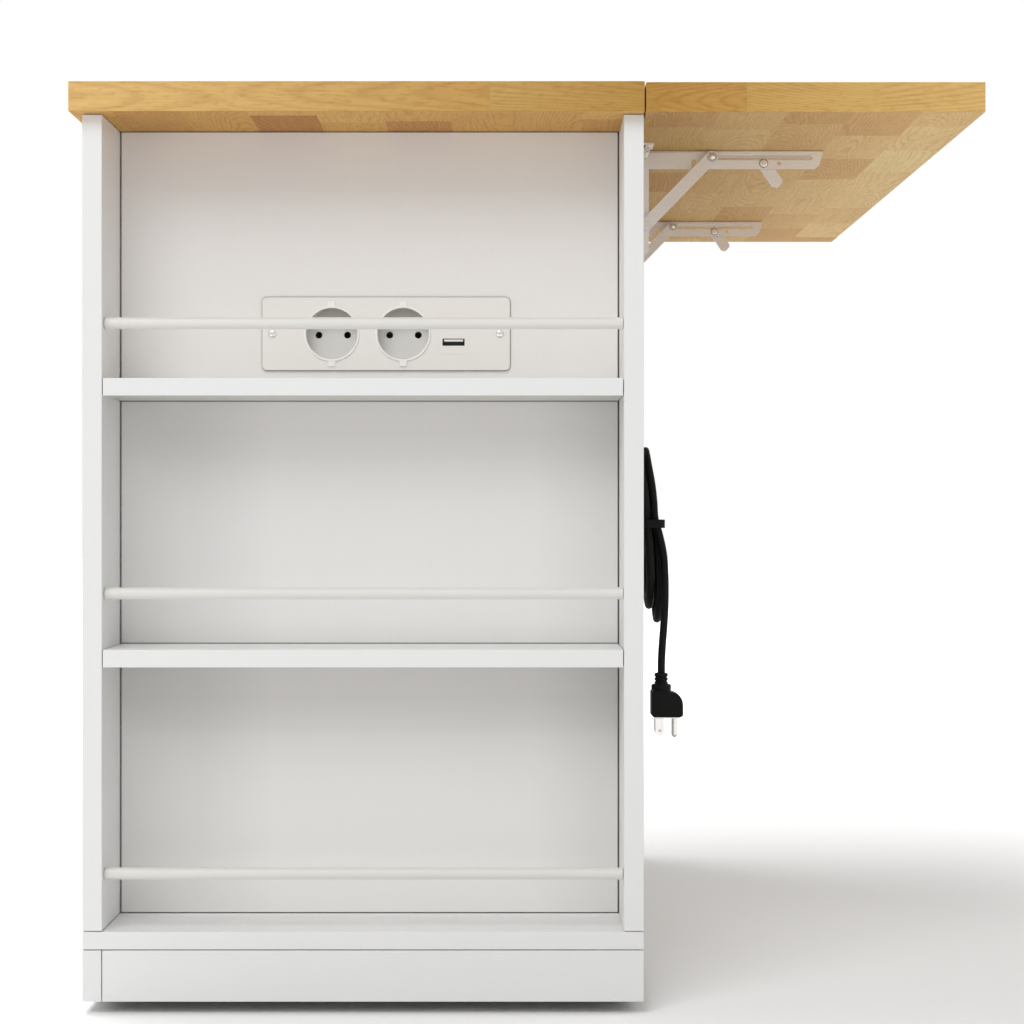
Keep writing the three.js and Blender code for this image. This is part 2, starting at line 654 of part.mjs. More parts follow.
// A small cranked hinge on the same fold axis. The wall half carries the pin.
function addLeafHinge(end, y) {
  const hinge = new THREE.Group();
  hinge.position.set(cabinetRight, y, leafUnder);
  const half = hingeLength / 2;
  const third = hingeLength / 3;
  const wallPlate = block([jointGap, jointGap + sheet], [-half, half],
    [-foldDrop - hingeLength, -foldDrop + hingePlateRise]);
  const wallKnuckle = [seatGap - third / 2, third / 2 - seatGap];
  const wallNeck = block([jointGap + 1, foldAxis.x], wallKnuckle,
    [foldAxis.y - hingeNeck / 2, foldAxis.y + hingeNeck / 2]);
  const wallBarrel = rodY(hingeBarrel, foldAxis.x, wallKnuckle, foldAxis.y);
  const pin = rodY(hingePin, foldAxis.x, [-half, half], foldAxis.y, 12);
  addPiece(hinge, `leaf_hinge_wall_half_${end}`, join(wallPlate, wallNeck, wallBarrel, pin), steel);

  const leafPlate = block([foldAxis.x - hingeBarrel, hingePlateEnd], [-half, half],
    [-jointGap - sheet, -jointGap]);
  const knuckles = [[-half, -third / 2 - seatGap], [third / 2 + seatGap, half]].map((knuckle) => join(
    rodY(hingeBarrel, foldAxis.x, knuckle, foldAxis.y),
    block([foldAxis.x - hingeNeck / 2, foldAxis.x + hingeNeck / 2], knuckle,
      [foldAxis.y, -jointGap - sheet / 2]),
  ));
  const bore = rodY(hingePin + 2 * shankFit, foldAxis.x, [-half - 1, half + 1], foldAxis.y, 12);
  addPiece(hinge, `leaf_hinge_leaf_half_${end}`, cut(join(leafPlate, ...knuckles), bore), steel);
  island.add(hinge);
}

// ---------------------------------------------------------------- drawer and doors
function addFront() {
  const front = new THREE.Group();
  const frontX = [cabinetLeft, cabinetLeft + boardThickness];
  const openingY = [nicheRear, cupboardFar];
  const middleY = (openingY[0] + openingY[1]) / 2;
  const drawerZ = [drawerUnder() + reveal, cabinetTop - reveal];
  const drawerMiddle = (drawerZ[0] + drawerZ[1]) / 2;
  addBoard(front, 'drawer_front', paint, frontX, [openingY[0] + reveal, openingY[1] - reveal], drawerZ);

  const boxX = [frontX[1] + jointGap, frontX[1] + drawerDepth];
  const boxY = [openingY[0] + drawerSideGap, openingY[1] - drawerSideGap];
  const boxZ = [drawerMiddle - drawerBoxHeight / 2, drawerMiddle + drawerBoxHeight / 2];
  const cavity = block([boxX[0] + drawerWall, boxX[1] - drawerWall],
    [boxY[0] + drawerWall, boxY[1] - drawerWall], [boxZ[0] + drawerBottom, boxZ[1] + 1]);
  const runnerZ = [drawerMiddle - runnerHeight / 2, drawerMiddle + runnerHeight / 2];
  const grooveZ = [runnerZ[0] - seatGap, runnerZ[1] + seatGap];
  const grooves = [[boxY[0] - 1, boxY[0] + runnerGroove], [boxY[1] - runnerGroove, boxY[1] + 1]]
    .map((y) => block([boxX[0] - 1, boxX[1] + 1], y, grooveZ));
  addPiece(front, 'drawer_box', cut(block(boxX, boxY, boxZ), cavity, ...grooves), paint);

  const runnerX = [boxX[0] + runnerSetback, boxX[1]];
  addBoard(front, 'drawer_runner_near', wood, runnerX,
    [openingY[0] + jointGap, openingY[0] + runnerThickness], runnerZ);
  addBoard(front, 'drawer_runner_far', wood, runnerX,
    [openingY[1] - runnerThickness, openingY[1] - jointGap], runnerZ);
  const drawerHandle = addPiece(front, 'drawer_handle', handleGeometry(), nickel);
  drawerHandle.position.set(cabinetLeft, middleY, drawerMiddle);

  const railUnder = drawerUnder() - boardThickness;
  const doorZ = [baseTop + reveal, railUnder - reveal];
  const doors = [
    ['near', openingY[0] + reveal, middleY - reveal / 2, 1],
    ['far', middleY + reveal / 2, openingY[1] - reveal, -1],
  ];
  const pivotX = cabinetLeft + pivotInset;
  const pins = { low: [], high: [] };
  for (const [end, from, to, side] of doors) {
    const pivotY = (side > 0 ? from : to) + side * pivotInset;
    const pinHoles = [
      [doorZ[0] - 1, doorZ[0] + pivotPinLength],
      [doorZ[1] - pivotPinLength, doorZ[1] + 1],
    ].map((z) => rodZ(pivotPin + 2 * shankFit, pivotX, pivotY, z, 14));
    addPiece(front, `door_${end}`, cut(block(frontX, [from, to], doorZ), ...pinHoles), paint);
    pins.low.push(rodZ(pivotPin, pivotX, pivotY, [baseTop + 1, doorZ[0] + pivotPinLength - 1], 14));
    pins.high.push(rodZ(pivotPin, pivotX, pivotY, [doorZ[1] - pivotPinLength + 1, railUnder - 1], 14));

    const meetingEdge = side > 0 ? to : from;
    const handle = addPiece(front, `door_handle_${end}`, handleGeometry(), nickel);
    handle.rotation.x = Math.PI / 2;
    handle.position.set(cabinetLeft, meetingEdge - side * handleInset,
      doorZ[1] - handleDrop - handleLength / 2);
  }

  // The doors turn on pins on two strips, one on the base board and one under the front rail.
  const stripX = [cabinetLeft + 1, cabinetLeft + 1 + pivotStripWidth];
  const stripY = [openingY[0] + boardGap, openingY[1] - boardGap];
  const lowZ = [baseTop + jointGap, baseTop + jointGap + pivotStrip];
  const highZ = [railUnder - jointGap - pivotStrip, railUnder - jointGap];
  addPiece(front, 'door_pivots_low', join(block(stripX, stripY, lowZ), ...pins.low), nickel);
  addPiece(front, 'door_pivots_high', join(block(stripX, stripY, highZ), ...pins.high), nickel);
  island.add(front);
}

// A bar handle on two posts. It stands out along -X from its origin and its bar runs along Y.
function handleGeometry() {
  const outer = -handleReach;
  const halfLength = handleLength / 2;
  const shape = new THREE.Shape();
  shape.moveTo(-seatGap, -halfLength);
  shape.lineTo(-seatGap, -halfLength + handleBar);
  shape.lineTo(outer + handleBar, -halfLength + handleBar);
  shape.lineTo(outer + handleBar, halfLength - handleBar);
  shape.lineTo(-seatGap, halfLength - handleBar);
  shape.lineTo(-seatGap, halfLength);
  shape.lineTo(outer + handleCorner, halfLength);
  shape.lineTo(outer, halfLength - handleCorner);
  shape.lineTo(outer, -halfLength + handleCorner);
  shape.lineTo(outer + handleCorner, -halfLength);
  shape.closePath();
  return plate(shape, handleBar, 1).translate(0, 0, -handleBar / 2);
}

// ---------------------------------------------------------------- cord
// The cord leaves a cover on the cabinet's side, hangs in a tied hank and ends in a plug. The
// hank's loops lie in the plane of the cabinet's side, in two layers: they spiral in through the
// inner layer, climb along a run, and spiral out through the outer layer.
const hankInnerRadius = 3 * cordDiameter;
const hankStep = 10; // between neighbouring loops of a layer
const hankReverse = 1.625; // turns, where the spiral turns outwards
const hankEnd = 3 + 1 / 12; // turns
const stepsPerTurn = 24;
const climbStart = 1.5;
const climbTurns = 0.25;
const layerPitch = 8.9;
const waistDraw = 13;
const tieHeight = -127.5;
const tieBand = 9;
const foldTops = [-93.5, -84.5]; // fold centres of the inner and the outer layer
const foldBottoms = [-180, -200];
const leanStart = -76; // the cord leaves the side here
const hankFoot = 17.4; // inner layer's distance from the side, at its foot
const hankLean = 12.5; // and how much nearer it is at the height below
const leanHeights = [-228, -58];
const leanPower = 2.6;
const tieWall = 1.8;
const tieRoom = 0.5; // between the strands and the tie
// The free tail below the hank, as [distance from the side, from the cord's plane, height].
const tailRun = [
  [31.6, 10, -162],
  [32.4, 5.5, -178],
  [32.6, 1.5, -196],
  [32.2, 0, -215],
  [31.0, 0, -237],
  [29.4, 0, -258],
  [28.5, 0, -275],
];
const tailOff = 28.4; // where the cord meets the plug

const loopRadius = (turn) => hankInnerRadius + hankStep * Math.abs(turn - hankReverse);
const hankY = cordY + loopRadius(0);

// Distance of the inner layer's cord from the cabinet's side, at a height.
function layerOff(z) {
  const share = Math.max(0, (z - leanHeights[0]) / (leanHeights[1] - leanHeights[0]));
  return Math.max(cordOff, hankFoot - hankLean * share ** leanPower);
}

// One point of the hank. Each quarter turn is a run or a fold: down the near run, round the
// bottom, up the far run and round the top.
function hankPoint(turn) {
  const climb = THREE.MathUtils.smoothstep(turn, climbStart, climbStart + climbTurns);
  const top = THREE.MathUtils.lerp(foldTops[0], foldTops[1], climb);
  const bottom = THREE.MathUtils.lerp(foldBottoms[0], foldBottoms[1], climb);
  const radius = loopRadius(turn);
  const part = (turn - Math.floor(turn)) * 4;
  const quarter = Math.floor(part);
  const share = part - quarter;
  const side = quarter < 2 ? -1 : 1;
  let y = side * radius;
  let z = quarter === 0 ? top + (bottom - top) * share : bottom + (top - bottom) * share;
  if (quarter % 2 === 1) {
    y = side * radius * Math.cos(Math.PI * share);
    z = (side < 0 ? bottom : top) + side * radius * Math.sin(Math.PI * share);
  } else {
    const reach = z > tieHeight ? top - tieHeight : tieHeight - bottom;
    const fade = Math.min(1, Math.abs(z - tieHeight) / reach);
    y -= side * waistDraw * 0.5 * (1 + Math.cos(Math.PI * fade));
  }
  return new THREE.Vector3(cabinetRight + layerOff(z) + layerPitch * climb, hankY + y, z);
}

function hankRoute() {
  const points = [
    new THREE.Vector3(cabinetRight + cordOff, cordY, leadEnd),
    new THREE.Vector3(cabinetRight + cordOff, cordY, leadEnd - cordDiameter),
    new THREE.Vector3(cabinetRight + layerOff(leanStart), cordY, leanStart),
  ];
  const steps = Math.round(hankEnd * stepsPerTurn);
  for (let i = 0; i <= steps; i += 1) {
    points.push(hankPoint(i / stepsPerTurn));
  }
  const last = points[points.length - 1];
  points.push(new THREE.Vector3(last.x + 1.6, last.y - 0.2, last.z - 6));
  points.push(new THREE.Vector3(last.x + 4.2, last.y - 0.6, last.z - 15));
  return points;
}

// An unbroken tube through every point, its rings square to the way between their neighbours.
function woundTube(points, diameter, sides) {
  const across = new THREE.Vector3(1, 0, 0);
  const positions = [];
  const indices = [];
  points.forEach((point, i) => {
    const before = points[Math.max(0, i - 1)];
    const after = points[Math.min(points.length - 1, i + 1)];
    const along = new THREE.Vector3().subVectors(after, before).normalize();
    const right = across.clone().addScaledVector(along, -across.dot(along)).normalize();
    const up = new THREE.Vector3().crossVectors(along, right);
    for (let side = 0; side < sides; side += 1) {
      const angle = (2 * Math.PI * side) / sides;
      const corner = point.clone()
        .addScaledVector(right, (Math.cos(angle) * diameter) / 2)
        .addScaledVector(up, (Math.sin(angle) * diameter) / 2);
      positions.push(corner.x, corner.y, corner.z);
    }
  });
  for (let i = 0; i + 1 < points.length; i += 1) {
    for (let side = 0; side < sides; side += 1) {
      const a = i * sides + side;
      const b = i * sides + ((side + 1) % sides);
      indices.push(a, b, a + sides, b, b + sides, a + sides);
    }
  }
  const lastRing = (points.length - 1) * sides;
  for (let side = 1; side + 1 < sides; side += 1) {
    indices.push(0, side + 1, side, lastRing, lastRing + side, lastRing + side + 1);
  }
  const geometry = new THREE.BufferGeometry();
  geometry.setAttribute('position', new THREE.Float32BufferAttribute(positions, 3));
  geometry.setIndex(indices);
  geometry.computeVertexNormals();
  return geometry;
}

// The least gap between stretches of the tube that are further apart along it than a fold.
function leastGap(points, diameter) {
  const path = new THREE.CurvePath();
  for (let i = 0; i + 1 < points.length; i += 1) {
    path.add(new THREE.LineCurve3(points[i], points[i + 1]));
  }
  const spacing = diameter / 4;
  const samples = path.getSpacedPoints(Math.round(path.getLength() / spacing));
  const skip = Math.round((5 * diameter) / spacing);
  let least = Infinity;
  for (let i = 0; i < samples.length; i += 1) {
    for (let j = i + skip; j < samples.length; j += 1) {
      least = Math.min(least, samples[i].distanceTo(samples[j]));
    }
  }
  return least - diameter;
}

const offWall = (off, y, z) => new THREE.Vector3(cabinetRight + off, y, z);

function addCord() {
  const cord = new THREE.Group();
  cord.position.z = coverHeight;
  const coverShape = roundedRectangle(coverSize, coverSize, coverCorner);
  const cover = plateYZ(coverShape, coverDepth - jointGap, cabinetRight + jointGap)
    .translate(0, cordY, coverSize / 2);
  const sleeve = turned([[0, -sleeveLength], [sleeveTip, -sleeveLength], [sleeveRoot, 0],
    [sleeveRoot, 2], [0, 2]], 16).translate(cabinetRight + cordOff, cordY, 0);
  addPiece(cord, 'cord_cover', join(cover, sleeve), cordRubber);

  const lead = [-sleeveLength - seatGap, (leadEnd - sleeveLength) / 2, leadEnd + seatGap]
    .map((z) => offWall(cordOff, cordY, z));
  addPiece(cord, 'cord_lead', cordTube(lead), cordRubber);

  const hank = hankRoute();
  console.log(`least gap in the hank: ${leastGap(hank, cordDiameter).toFixed(2)} mm`);
  addPiece(cord, 'cord_hank', woundTube(hank, cordDiameter, 6), cordRubber);

  const hankTip = hank[hank.length - 1];
  const hankWay = new THREE.Vector3().subVectors(hankTip, hank[hank.length - 2]).normalize();
  const tailStart = hankTip.clone().addScaledVector(hankWay, seatGap);
  const tail = [
    tailStart,
    tailStart.clone().addScaledVector(hankWay, cordDiameter),
    ...tailRun.map(([off, aside, z]) => offWall(off, cordY + aside, z)),
    offWall(tailOff, cordY, plugTop + seatGap),
  ];
  addPiece(cord, 'cord_tail', cordTube(tail), cordRubber);
  addPiece(cord, 'cord_tie', tieGeometry(hank), cordRubber);
  addPlug(cord);
  island.add(cord);
}

// The tie is a flat band round every strand that passes its height.
function tieGeometry(hank) {
  const reach = cordDiameter / 2 + tieRoom;
  const passing = hank.filter((point) => Math.abs(point.z - tieHeight) < 2.2 * cordDiameter);
  const bundle = new THREE.Box3().setFromPoints(passing);
  const size = bundle.getSize(new THREE.Vector3());
  const middle = bundle.getCenter(new THREE.Vector3());
  const width = size.x + 2 * reach;
  const length = size.y + 2 * reach;
  const shape = roundedRectangle(width + 2 * tieWall, length + 2 * tieWall, reach + tieWall);
  shape.holes.push(roundedRectangle(width, length, reach));
  return plate(shape, tieBand, 4).translate(middle.x, middle.y, tieHeight - tieBand / 2);
}

// ---------------------------------------------------------------- plug
// Heights are from the cord cover's underside, distances from the cabinet's side.
const plugTop = -287;
const plugNeck = -299;
const plugShoulder = -305;
const plugUnder = -333.4;
const plugLeft = 17.2;
const plugRight = 50.8;
const plugCorner = 2;
const plugOuterSide = -321.3; // the outer face runs up to here, then curves over
const plugCrown = [37.3, -306.5];
const plugBodyDepth = 26;
const neckOff = 28.2;
const neckRadius = 7.2;
const collarRadius = 10.6;
const ribHeights = [-295.5, -291.5];
const ribGroove = 1;
const insertInset = 3;
const plugFace = -335;
const bladeTip = -353.6;
const bladeWidth = 9.6;
const bladeSpacing = 17;
const bladeThickness = 2;
const bladeHoleDiameter = 3;
const bladeHoleRise = 5.8;
const groundTip = -356.1;
const groundDiameter = 6.6;
const bladeOff = 26;
const groundOff = 42.4;

function addPlug(cord) {
  const plug = new THREE.Group();
  plug.position.set(cabinetRight, cordY, 0);
  const side = new THREE.Shape();
  side.moveTo(plugLeft + plugCorner, plugUnder);
  side.lineTo(plugRight - plugCorner, plugUnder);
  side.lineTo(plugRight, plugUnder + plugCorner);
  side.lineTo(plugRight, plugOuterSide);
  side.quadraticCurveTo(plugRight, plugShoulder - 3, ...plugCrown);
  side.lineTo(plugLeft + plugCorner, plugShoulder);
  side.lineTo(plugLeft, plugShoulder - plugCorner);
  side.lineTo(plugLeft, plugUnder + plugCorner);
  side.closePath();
  const body = plateXZ(side, plugBodyDepth, -plugBodyDepth / 2, 6);
  const grooved = neckRadius - ribGroove;
  const ribs = ribHeights.flatMap((z) => [
    [neckRadius, z - ribGroove], [grooved, z - 0.4 * ribGroove],
    [grooved, z + 0.4 * ribGroove], [neckRadius, z + ribGroove],
  ]);
  const neck = turned([[0, plugShoulder - 4], [collarRadius, plugShoulder - 4],
    [collarRadius, plugNeck - 1], [collarRadius - 1, plugNeck], [neckRadius, plugNeck], ...ribs,
    [neckRadius, plugTop - 1], [neckRadius - 1, plugTop], [0, plugTop]], 20);
  addPiece(plug, 'plug_body', join(body, neck.translate(neckOff, 0, 0)), cordRubber);

  const insertY = plugBodyDepth / 2 - insertInset;
  const insert = block([plugLeft + insertInset, plugRight - insertInset], [-insertY, insertY],
    [plugFace, plugUnder - seatGap]);
  const bladeHole = rodY(bladeHoleDiameter, bladeOff, [-bladeSpacing, bladeSpacing],
    bladeTip + bladeHoleRise, 12);
  const bladeMiddle = bladeTip + bladeWidth / 2;
  const blades = [-1, 1].map((way) => {
    const middle = (way * bladeSpacing) / 2;
    const bladeY = [middle - bladeThickness / 2, middle + bladeThickness / 2];
    const flat = block([bladeOff - bladeWidth / 2, bladeOff + bladeWidth / 2], bladeY,
      [bladeMiddle, plugFace + 0.5]);
    return join(flat, rodY(bladeWidth, bladeOff, bladeY, bladeMiddle, 20));
  });
  const round = groundDiameter / 2;
  const ground = turned([[0, groundTip], [round / 2, groundTip + 0.4], [round, groundTip + 3],
    [round, plugFace + 0.5], [0, plugFace + 0.5]], 16).translate(groundOff, 0, 0);
  addPiece(plug, 'plug_pins', cut(join(insert, ...blades, ground), bladeHole), pinMetal);
  cord.add(plug);
}

// Inside the cupboard, the lead runs from the outlet's housing to the hole behind the cover.
function addInnerLead() {
  const startX = plateX + housingLength / 2 + seatGap;
  const startY = nicheFace + housingDepth - innerLeadInset;
  const startZ = plateZ + innerLeadRise;
  const holeZ = coverHeight + coverSize / 2;
  const points = [
    new THREE.Vector3(startX, startY, startZ),
    new THREE.Vector3(startX + 2 * cordDiameter, startY, startZ),
    new THREE.Vector3((startX + nicheRight) / 2, (startY + cordY) / 2, (startZ + holeZ) / 2 - 6),
    new THREE.Vector3(nicheRight - 2.5 * cordDiameter, cordY, holeZ),
    new THREE.Vector3(nicheRight, cordY, holeZ),
    new THREE.Vector3(cabinetRight + jointGap - seatGap, cordY, holeZ),
  ];
  addPiece(island, 'inner_lead', cordTube(points), cordRubber);
}

addCabinet();
addNiche();
addOutlet();
addLeaf();
addFront();
addCord();
addInnerLead();

export default island;
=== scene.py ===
# %% [markdown]
# # A drop leaf kitchen island
#
# The island is a white painted cabinet with a solid wood worktop. Its near end is an open niche
# with two shelves and three rails. A wood leaf at the right stands on two slotted steel brackets
# and folds down, and the island's power cord hangs in a tied hank below it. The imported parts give
# every place and size, so this lesson adds what they leave out: eased edges, screws, grain, paint
# and light. We start by loading them.

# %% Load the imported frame
import json
import math

import bmesh
import bpy
from mathutils import Matrix, Vector


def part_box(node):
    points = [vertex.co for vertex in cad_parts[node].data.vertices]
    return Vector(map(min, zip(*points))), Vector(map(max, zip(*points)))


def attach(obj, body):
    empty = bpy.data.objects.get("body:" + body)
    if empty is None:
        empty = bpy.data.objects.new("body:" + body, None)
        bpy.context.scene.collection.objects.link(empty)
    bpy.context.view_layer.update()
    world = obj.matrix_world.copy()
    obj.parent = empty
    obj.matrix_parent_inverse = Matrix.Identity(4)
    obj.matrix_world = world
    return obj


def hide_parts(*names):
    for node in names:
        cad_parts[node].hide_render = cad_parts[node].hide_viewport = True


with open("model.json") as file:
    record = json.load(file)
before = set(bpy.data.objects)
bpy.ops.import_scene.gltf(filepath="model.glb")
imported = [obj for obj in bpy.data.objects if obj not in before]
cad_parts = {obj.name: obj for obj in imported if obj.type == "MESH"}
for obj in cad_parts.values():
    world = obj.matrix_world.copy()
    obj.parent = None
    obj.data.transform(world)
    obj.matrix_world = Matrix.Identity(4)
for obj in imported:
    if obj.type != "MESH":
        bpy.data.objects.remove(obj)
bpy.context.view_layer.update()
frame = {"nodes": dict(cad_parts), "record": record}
PARTS = frame["nodes"]
MM = 0.001


def corner_of(part, end):
    """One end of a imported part's box, in metres: 0 is the lowest corner, 1 the highest."""
    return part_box(part)[end]


# %% [markdown]
# ## The camera
#
# The photograph is a one-point view: the shelf edges are level, the side edges upright, and every
# edge that runs away from us points at the picture's middle. So the camera looks straight along
# the depth axis, with no tilt and no shift, and its height is the one where the worktop's
# underside and the shelf's top both show as they do in the photograph.

# %% Place the camera
CAMERA_PLACE = Vector((-5.2, -2581, 500.2)) * MM
LENS = 73.9

camera_data = bpy.data.cameras.new("camera")
camera_data.sensor_width = 36
camera_data.lens = LENS
camera = bpy.data.objects.new("camera", camera_data)
camera.location = CAMERA_PLACE
camera.rotation_euler = (math.radians(90), 0, 0)
bpy.context.scene.collection.objects.link(camera)
bpy.context.scene.camera = camera
print("Camera", round(-CAMERA_PLACE.y, 2), "m in front of the island's middle")

# %% [markdown]
# ## The cord's way
#
# A power cord is one length of rubber, so it is one curve with a round bevel. It drops from the
# sleeve of its cover, winds three times round in two layers that a tie holds together, and hangs
# down to its plug. The hank lies in the plane of the cabinet's side. We work out its points from
# a few values: each quarter turn is a straight run or a round fold, the loops spiral in, and
# after the climb to the outer layer they spiral out again, so no strand passes through another.

# %% Values of the cord
SIDE = corner_of("back_panel", 1).x / MM
CORD_DIAMETER = 8.0
CORD_Y = -330.0
SLEEVE_LENGTH = 20.0
COVER_UNDER = corner_of("cord_cover", 0).z / MM + SLEEVE_LENGTH  # heights are from here
LEAD_OFF = 4.9
LEAD_END = -50.0
INNER_RADIUS = 24.0
LOOP_STEP = 10.0
SPIRAL_TURN = 1.625
HANK_TURNS = 3 + 1 / 12
STEPS_PER_TURN = 24
CLIMB_START, CLIMB_TURNS = 1.5, 0.25
LAYER_PITCH = 8.9
WAIST_DRAW = 13.0
TIE_HEIGHT = -127.5
FOLD_TOPS = (-93.5, -84.5)
FOLD_BOTTOMS = (-180.0, -200.0)
FOOT_OFF, FOOT_HEIGHT = 17.4, -228.0  # the inner layer's place where the hank leans out most
LEAN, LEAN_HEIGHT, LEAN_CURVE = 12.5, 170.0, 2.6
TAIL_RUN = [(31.6, 10, -162), (32.4, 5.5, -178), (32.6, 1.5, -196), (32.2, 0, -215),
            (31.0, 0, -237), (29.4, 0, -258), (28.5, 0, -275), (28.4, 0, -286.7)]


def loop_radius(turn):
    """How wide the loops are after that many turns."""
    return INNER_RADIUS + LOOP_STEP * abs(turn - SPIRAL_TURN)


HANK_Y = CORD_Y + loop_radius(0)


def layer_off(height):
    """How far the inner layer hangs from the cabinet's side: the hank leans out at its foot."""
    share = max(0.0, (height - FOOT_HEIGHT) / LEAN_HEIGHT)
    return max(LEAD_OFF, FOOT_OFF - LEAN * share ** LEAN_CURVE)


# %% One point of the hank
def hank_point(turn):
    """A point of the winding, in millimetres, after that many turns."""
    share = min(1.0, max(0.0, (turn - CLIMB_START) / CLIMB_TURNS))
    climb = share * share * (3 - 2 * share)
    top = FOLD_TOPS[0] + (FOLD_TOPS[1] - FOLD_TOPS[0]) * climb
    bottom = FOLD_BOTTOMS[0] + (FOLD_BOTTOMS[1] - FOLD_BOTTOMS[0]) * climb
    quarter, along = divmod(turn % 1 * 4, 1)
    side = -1 if quarter < 2 else 1
    radius = loop_radius(turn)
    if quarter in (1, 3):
        across = side * radius * math.cos(math.pi * along)
        height = (bottom if side < 0 else top) + side * radius * math.sin(math.pi * along)
    else:
        across = side * radius
        height = top + (bottom - top) * along if quarter == 0 else bottom + (top - bottom) * along
        reach = top - TIE_HEIGHT if height > TIE_HEIGHT else TIE_HEIGHT - bottom
        fade = min(1.0, abs(height - TIE_HEIGHT) / reach)
        across -= side * WAIST_DRAW * 0.5 * (1 + math.cos(math.pi * fade))
    off = layer_off(height) + LAYER_PITCH * climb
    return Vector((SIDE + off, HANK_Y + across, height))


# %% The whole route, from the sleeve to the plug
route = [Vector((SIDE + LEAD_OFF, CORD_Y, z)) for z in (-SLEEVE_LENGTH, -28, -39, LEAD_END, -58)]
route.append(Vector((SIDE + layer_off(-76), CORD_Y, -76)))
for step in range(round(HANK_TURNS * STEPS_PER_TURN) + 1):
    route.append(hank_point(step / STEPS_PER_TURN))
hank_end = route[-1]
route.append(hank_end + Vector((1.6, -0.2, -6)))
route.append(hank_end + Vector((4.2, -0.6, -15)))
route += [Vector((SIDE + off, CORD_Y + aside, z)) for off, aside, z in TAIL_RUN]
route = [point + Vector((0, 0, COVER_UNDER)) for point in route]
print("The cord's route has", len(route), "points")

# %% Lay the cord along it
cord_curve = bpy.data.curves.new("power_cord", "CURVE")
cord_curve.dimensions = "3D"
cord_curve.resolution_u = 5
cord_curve.bevel_depth = 1.0  # times each point's radius, by which Blender pads the box
cord_curve.bevel_resolution = 5
cord_curve.use_fill_caps = True
strand = cord_curve.splines.new("BEZIER")
strand.bezier_points.add(len(route) - 1)
for bezier, point in zip(strand.bezier_points, route):
    bezier.co = point * MM
    bezier.radius = CORD_DIAMETER / 2 * MM
    bezier.handle_left_type = bezier.handle_right_type = "AUTO"
power_cord = bpy.data.objects.new("power_cord", cord_curve)
bpy.context.scene.collection.objects.link(power_cord)
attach(power_cord, "cabinet")
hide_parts("cord_lead", "cord_hank", "cord_tail")

# %% [markdown]
# ## Making finishes
#
# Every finish is a small network of nodes. A few helpers keep it readable: one starts a material
# on the standard shader, one adds a node and feeds its inputs, one does sums, and others stretch a
# pattern, mix two colours or paint shade with a tint that sets in along the island. Colours are
# written as they look on a screen and turned into the light that the shader counts in.

# %% Helpers for finishes
def screen_colour(text):
    """Turns a colour such as 'c49a55' into linear red, green and blue, and full alpha."""
    channels = [int(text[i:i + 2], 16) / 255 for i in (0, 2, 4)]
    return [c / 12.92 if c <= 0.04045 else ((c + 0.055) / 1.055) ** 2.4 for c in channels] + [1.0]


def start_finish(name, roughness, metallic=0.0):
    """A new material, its node tree and its shader."""
    finish = bpy.data.materials.new(name)
    finish.use_nodes = True
    shader = finish.node_tree.nodes["Principled BSDF"]
    shader.inputs["Roughness"].default_value = roughness
    shader.inputs["Metallic"].default_value = metallic
    return finish, finish.node_tree, shader


def add_node(tree, kind, inputs=None, **settings):
    """Adds a node, sets it up, and feeds each input with a value or another node's output."""
    node = tree.nodes.new(kind)
    for key, value in settings.items():
        setattr(node, key, value)
    for key, value in (inputs or {}).items():
        if isinstance(value, bpy.types.NodeSocket):
            tree.links.new(value, node.inputs[key])
        else:
            node.inputs[key].default_value = value
    return node


def calc(tree, operation, first, second=0.0, third=0.0):
    """The result of a sum on one, two or three values or outputs."""
    node = add_node(tree, "ShaderNodeMath", {0: first, 1: second, 2: third}, operation=operation)
    return node.outputs[0]


def stretched(tree, scale):
    """Object coordinates in metres, stretched, so that a pattern gets its own scale each way."""
    place = add_node(tree, "ShaderNodeTexCoord").outputs["Object"]
    return add_node(tree, "ShaderNodeMapping", {"Vector": place, "Scale": scale}).outputs["Vector"]


def axis_value(tree, axis):
    """The place along X, Y or Z, in metres."""
    place = add_node(tree, "ShaderNodeTexCoord").outputs["Object"]
    ways = add_node(tree, "ShaderNodeSeparateXYZ", {"Vector": place}).outputs
    return ways["XYZ".index(axis)]


def blend_colours(tree, share, first, second, blend_type="MIX"):
    """Mixes two colours by a share."""
    node = add_node(tree, "ShaderNodeMix", {0: share}, data_type="RGBA", blend_type=blend_type)
    for index, value in ((6, first), (7, second)):
        if isinstance(value, bpy.types.NodeSocket):
            tree.links.new(value, node.inputs[index])
        else:
            node.inputs[index].default_value = value
    return node.outputs[2]


def painted_shade_along(tree, colour, axis, start, end, tint):
    """Paints shade: multiplies a colour by a tint that sets in along an axis between two
    places in metres.
    """
    share = add_node(tree, "ShaderNodeMapRange", {"Value": axis_value(tree, axis),
                                                  "From Min": start, "From Max": end}).outputs[0]
    tinted = blend_colours(tree, 1.0, colour, screen_colour(tint), "MULTIPLY")
    return blend_colours(tree, share, colour, tinted)


def set_roughness(tree, shader, pattern, low, high):
    """Lets a pattern from 0 to 1 move the roughness between two values."""
    spread = add_node(tree, "ShaderNodeMapRange", {"Value": pattern, "To Min": low, "To Max": high})
    tree.links.new(spread.outputs[0], shader.inputs["Roughness"])


def add_relief(tree, shader, pattern, strength, height):
    """A fine relief from a pattern, its height in metres."""
    bump = add_node(tree, "ShaderNodeBump", {"Height": pattern, "Strength": strength,
                                             "Distance": height})
    tree.links.new(bump.outputs["Normal"], shader.inputs["Normal"])


